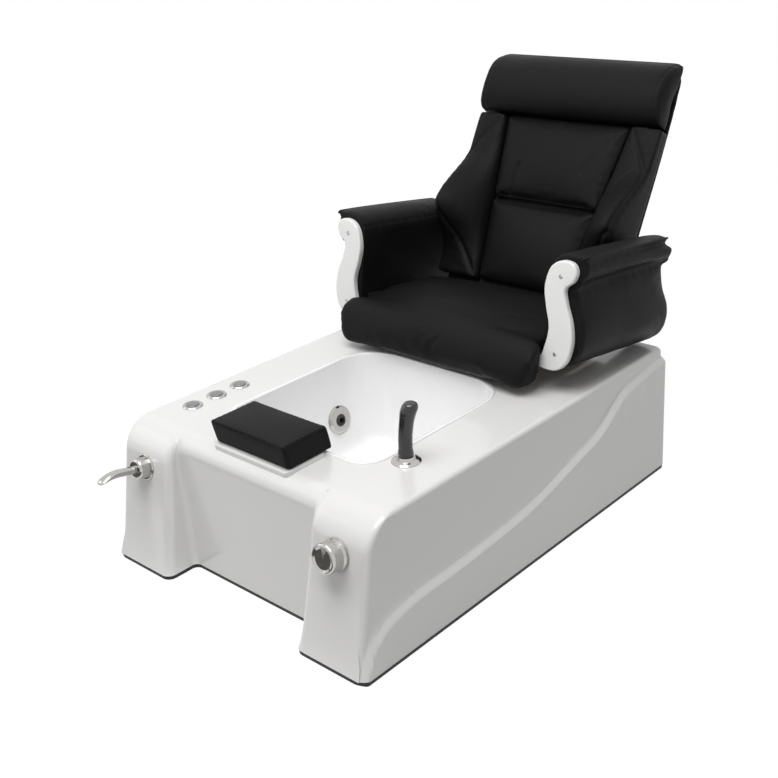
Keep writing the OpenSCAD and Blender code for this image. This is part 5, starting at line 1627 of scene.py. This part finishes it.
    def build(self, shop: Workshop) -> None:
        """Makes the whole backrest."""
        self.middle(shop, "lumbar_back_pad", 2.0, self.lumbar_top - 1.0, 19.0, "lumbar_pad")
        self.middle(shop, "upper_back_pad", self.lumbar_top + 1.0, self.roll_low - 2.0, 15.0, "upper_pad")
        self.build_roll(shop)
        self.build_wings(shop)
        self.build_cover(shop)


@dataclass
class Footrest:
    """The firm pad in front of the basin."""

    width: float = 217.0
    depth: float = 121.0
    height: float = 56.0

    def build(self, shop: Workshop) -> None:
        """Makes the pad with crisp upper edges."""
        outline = round_rect(self.width, self.depth, 6.0, 6.0, 5, 16)
        pad = shop.raw("foot_pad", pillow(outline, 0.3, self.height - 3.0, 3.5, 2.0, 1.0))

        def held(p: Array) -> Array:
            """Fixed on the plinth and along its upper edge."""
            rim = np.maximum(np.abs(p[:, 0]) - self.width / 2, np.abs(p[:, 1]) - self.depth / 2)
            return ((p[:, 2] < 5.0) | ((rim > -8) & (p[:, 2] > self.height - 10))).astype(float)

        def fit(p: Array) -> Array:
            """Leans forward and keeps clear of the plinth."""
            return np.stack([p[:, 0], p[:, 1] + 7.0 - 0.22 * p[:, 2], np.clip(p[:, 2], 0.2, self.height + 2)], -1)

        shop.fill(pad, held, travel=2.0, voxel=3.0, smooth=1)
        edge = round_rect(self.width - 5, self.depth - 5, 9.0, 9.0, 5, 16)
        shop.sew(pad, [Seam(joined_up(at_height(edge, self.height - 6.5)), 0.9, 1.8, 0.5, 9.0, 13.0)], fit)
        shop.place(pad, space((0.0, -375.0, 318.3)), Slot.LEATHER, "base", ["footrest_pad"])


# ---------------------------------------------------------------------------------------------------- studio
@dataclass(frozen=True)
class Lamp:
    """A soft square lamp that points at a spot on the chair."""

    name: str
    place: tuple[float, float, float]
    side: float
    power: float
    target: tuple[float, float, float] = (0.0, 0.0, 0.35)

    def hang(self) -> None:
        """Makes the lamp."""
        data = bpy.data.lights.new(self.name, "AREA")
        data.shape = "SQUARE"
        data.size = self.side
        data.energy = self.power
        lamp = bpy.data.objects.new(self.name, data)
        lamp.location = self.place
        away = Vector(self.target) - Vector(self.place)
        lamp.rotation_euler = away.to_track_quat("-Z", "Y").to_euler()
        show(lamp)


@dataclass(frozen=True)
class Studio:
    """White sweep, soft lamps, dark flags for the chrome to mirror, and the camera."""

    camera_place: tuple[float, float, float] = (1.5728, -1.6804, 1.3254)
    azimuth: float = 43.51
    elevation: float = 23.87
    roll: float = -3.47
    lens: float = 52.13
    world_strength: float = 0.36
    floor_albedo: float = 0.50
    floor_white: float = 1.11
    shadow_share: float = 0.12
    lamps: tuple[Lamp, ...] = (
        Lamp("lamp_key", (0.15, -1.0, 3.1), 2.0, 73.0),
        Lamp("lamp_fill", (-2.4, -1.8, 1.5), 1.6, 7.0),
    )
    flag: tuple[float, float, float, float] = (-1.6, -1.75, 0.35, -0.85)

    def build(self) -> None:
        """Makes the whole studio."""
        scene = bpy.context.scene
        scene.view_settings.view_transform = "Standard"
        self._camera()
        self._world()
        self._floor()
        for lamp in self.lamps:
            lamp.hang()
        self._flag()

    def _flag(self) -> None:
        """Dark card flat on the floor in front, which only mirrors see, so that chrome has something to show."""
        mesh = bpy.data.meshes.new("flag")
        x0, y0, x1, y1 = self.flag
        z = 0.002
        mesh.from_pydata([(x0, y0, z), (x1, y0, z), (x1, y1, z), (x0, y1, z)], [], [(0, 1, 2, 3)])
        card = bpy.data.objects.new("flag", mesh)
        dark = {"Base Color": (0.06, 0.058, 0.05, 1.0), "Roughness": 0.9}
        mesh.materials.append(Paint("flag_dark").surface(dark))
        card.visible_camera = card.visible_diffuse = card.visible_shadow = False
        show(card)

    def _camera(self) -> None:
        """Sets the camera by azimuth, elevation and roll about its own axis."""
        data = bpy.data.cameras.new("camera")
        data.lens = self.lens
        data.sensor_width = 36.0
        camera = bpy.data.objects.new("camera", data)
        a, e, r = (math.radians(x) for x in (self.azimuth, self.elevation, self.roll))
        back = Vector((math.sin(a) * math.cos(e), -math.cos(a) * math.cos(e), math.sin(e)))
        right = Vector((math.cos(a), math.sin(a), 0.0))
        up = back.cross(right)
        turned_right = right * math.cos(r) + up * math.sin(r)
        turned_up = back.cross(turned_right)
        axes = Matrix((turned_right, turned_up, back)).transposed()
        camera.matrix_world = Matrix.Translation(self.camera_place) @ axes.to_4x4()
        show(camera)
        bpy.context.scene.camera = camera

    @staticmethod
    def _seen(paint: Paint) -> Wire:
        """1 for the rays that look straight, in a mirror or through glass, and 0 for the light itself."""
        path = paint.node("ShaderNodeLightPath", output="Is Camera Ray")
        glossy = Wire(paint, path.socket.node.outputs["Is Glossy Ray"])
        clear = Wire(paint, path.socket.node.outputs["Is Transmission Ray"])
        return path + glossy + clear

    def _world(self) -> None:
        """White to look at, and dimmer as a light."""
        paint = Paint("world", bpy.data.worlds)
        strength = self.world_strength + (1.0 - self.world_strength) * self._seen(paint)
        back = paint.node("ShaderNodeBackground", {}, {"Color": (1.0, 1.0, 1.0, 1.0), "Strength": strength})
        bpy.context.scene.world = paint.close(back, "ShaderNodeOutputWorld")

    def _floor(self) -> None:
        """A wide floor that looks white and keeps part of the chair's shadow."""
        mesh = bpy.data.meshes.new("floor")
        mesh.from_pydata([(-30, -30, 0), (30, -30, 0), (30, 30, 0), (-30, 30, 0)], [], [(0, 1, 2, 3)])
        floor = bpy.data.objects.new("floor", mesh)
        floor.location.z = -0.0005
        paint = Paint("floor_white")
        grey = (self.floor_albedo,) * 3
        plain = paint.node("ShaderNodeBsdfDiffuse", {}, {"Color": (*grey, 1.0)})
        bright = paint.node("ShaderNodeEmission", {}, {"Color": (1.0, 1.0, 1.0, 1.0), "Strength": self.floor_white})
        factor = self._seen(paint) * (1.0 - self.shadow_share)
        mesh.materials.append(paint.close(paint.node("ShaderNodeMixShader", {}, {0: factor, 1: plain, 2: bright})))
        show(floor)


def corners(box: tuple[Vector, Vector]) -> list[list[float]]:
    """Turns a box's two corners into plain lists."""
    return [[float(x) for x in corner] for corner in box]


def main() -> None:
    """Builds the studio, dresses the frame and makes the pieces."""
    logging.basicConfig(level=logging.INFO, format="%(name)s: %(message)s")
    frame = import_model()
    Studio().build()
    finishes = Finishes()
    finishes.dress_nodes(frame)
    shop = Workshop(finishes)
    tub = FootBasin()
    MouldedBase().build(shop, tub.outline(-5.3))
    for assembly in (tub, Controls(), Footrest(), Seat(), Arms(), Backrest()):
        assembly.build(shop)


if __name__ == "__main__":
    main()
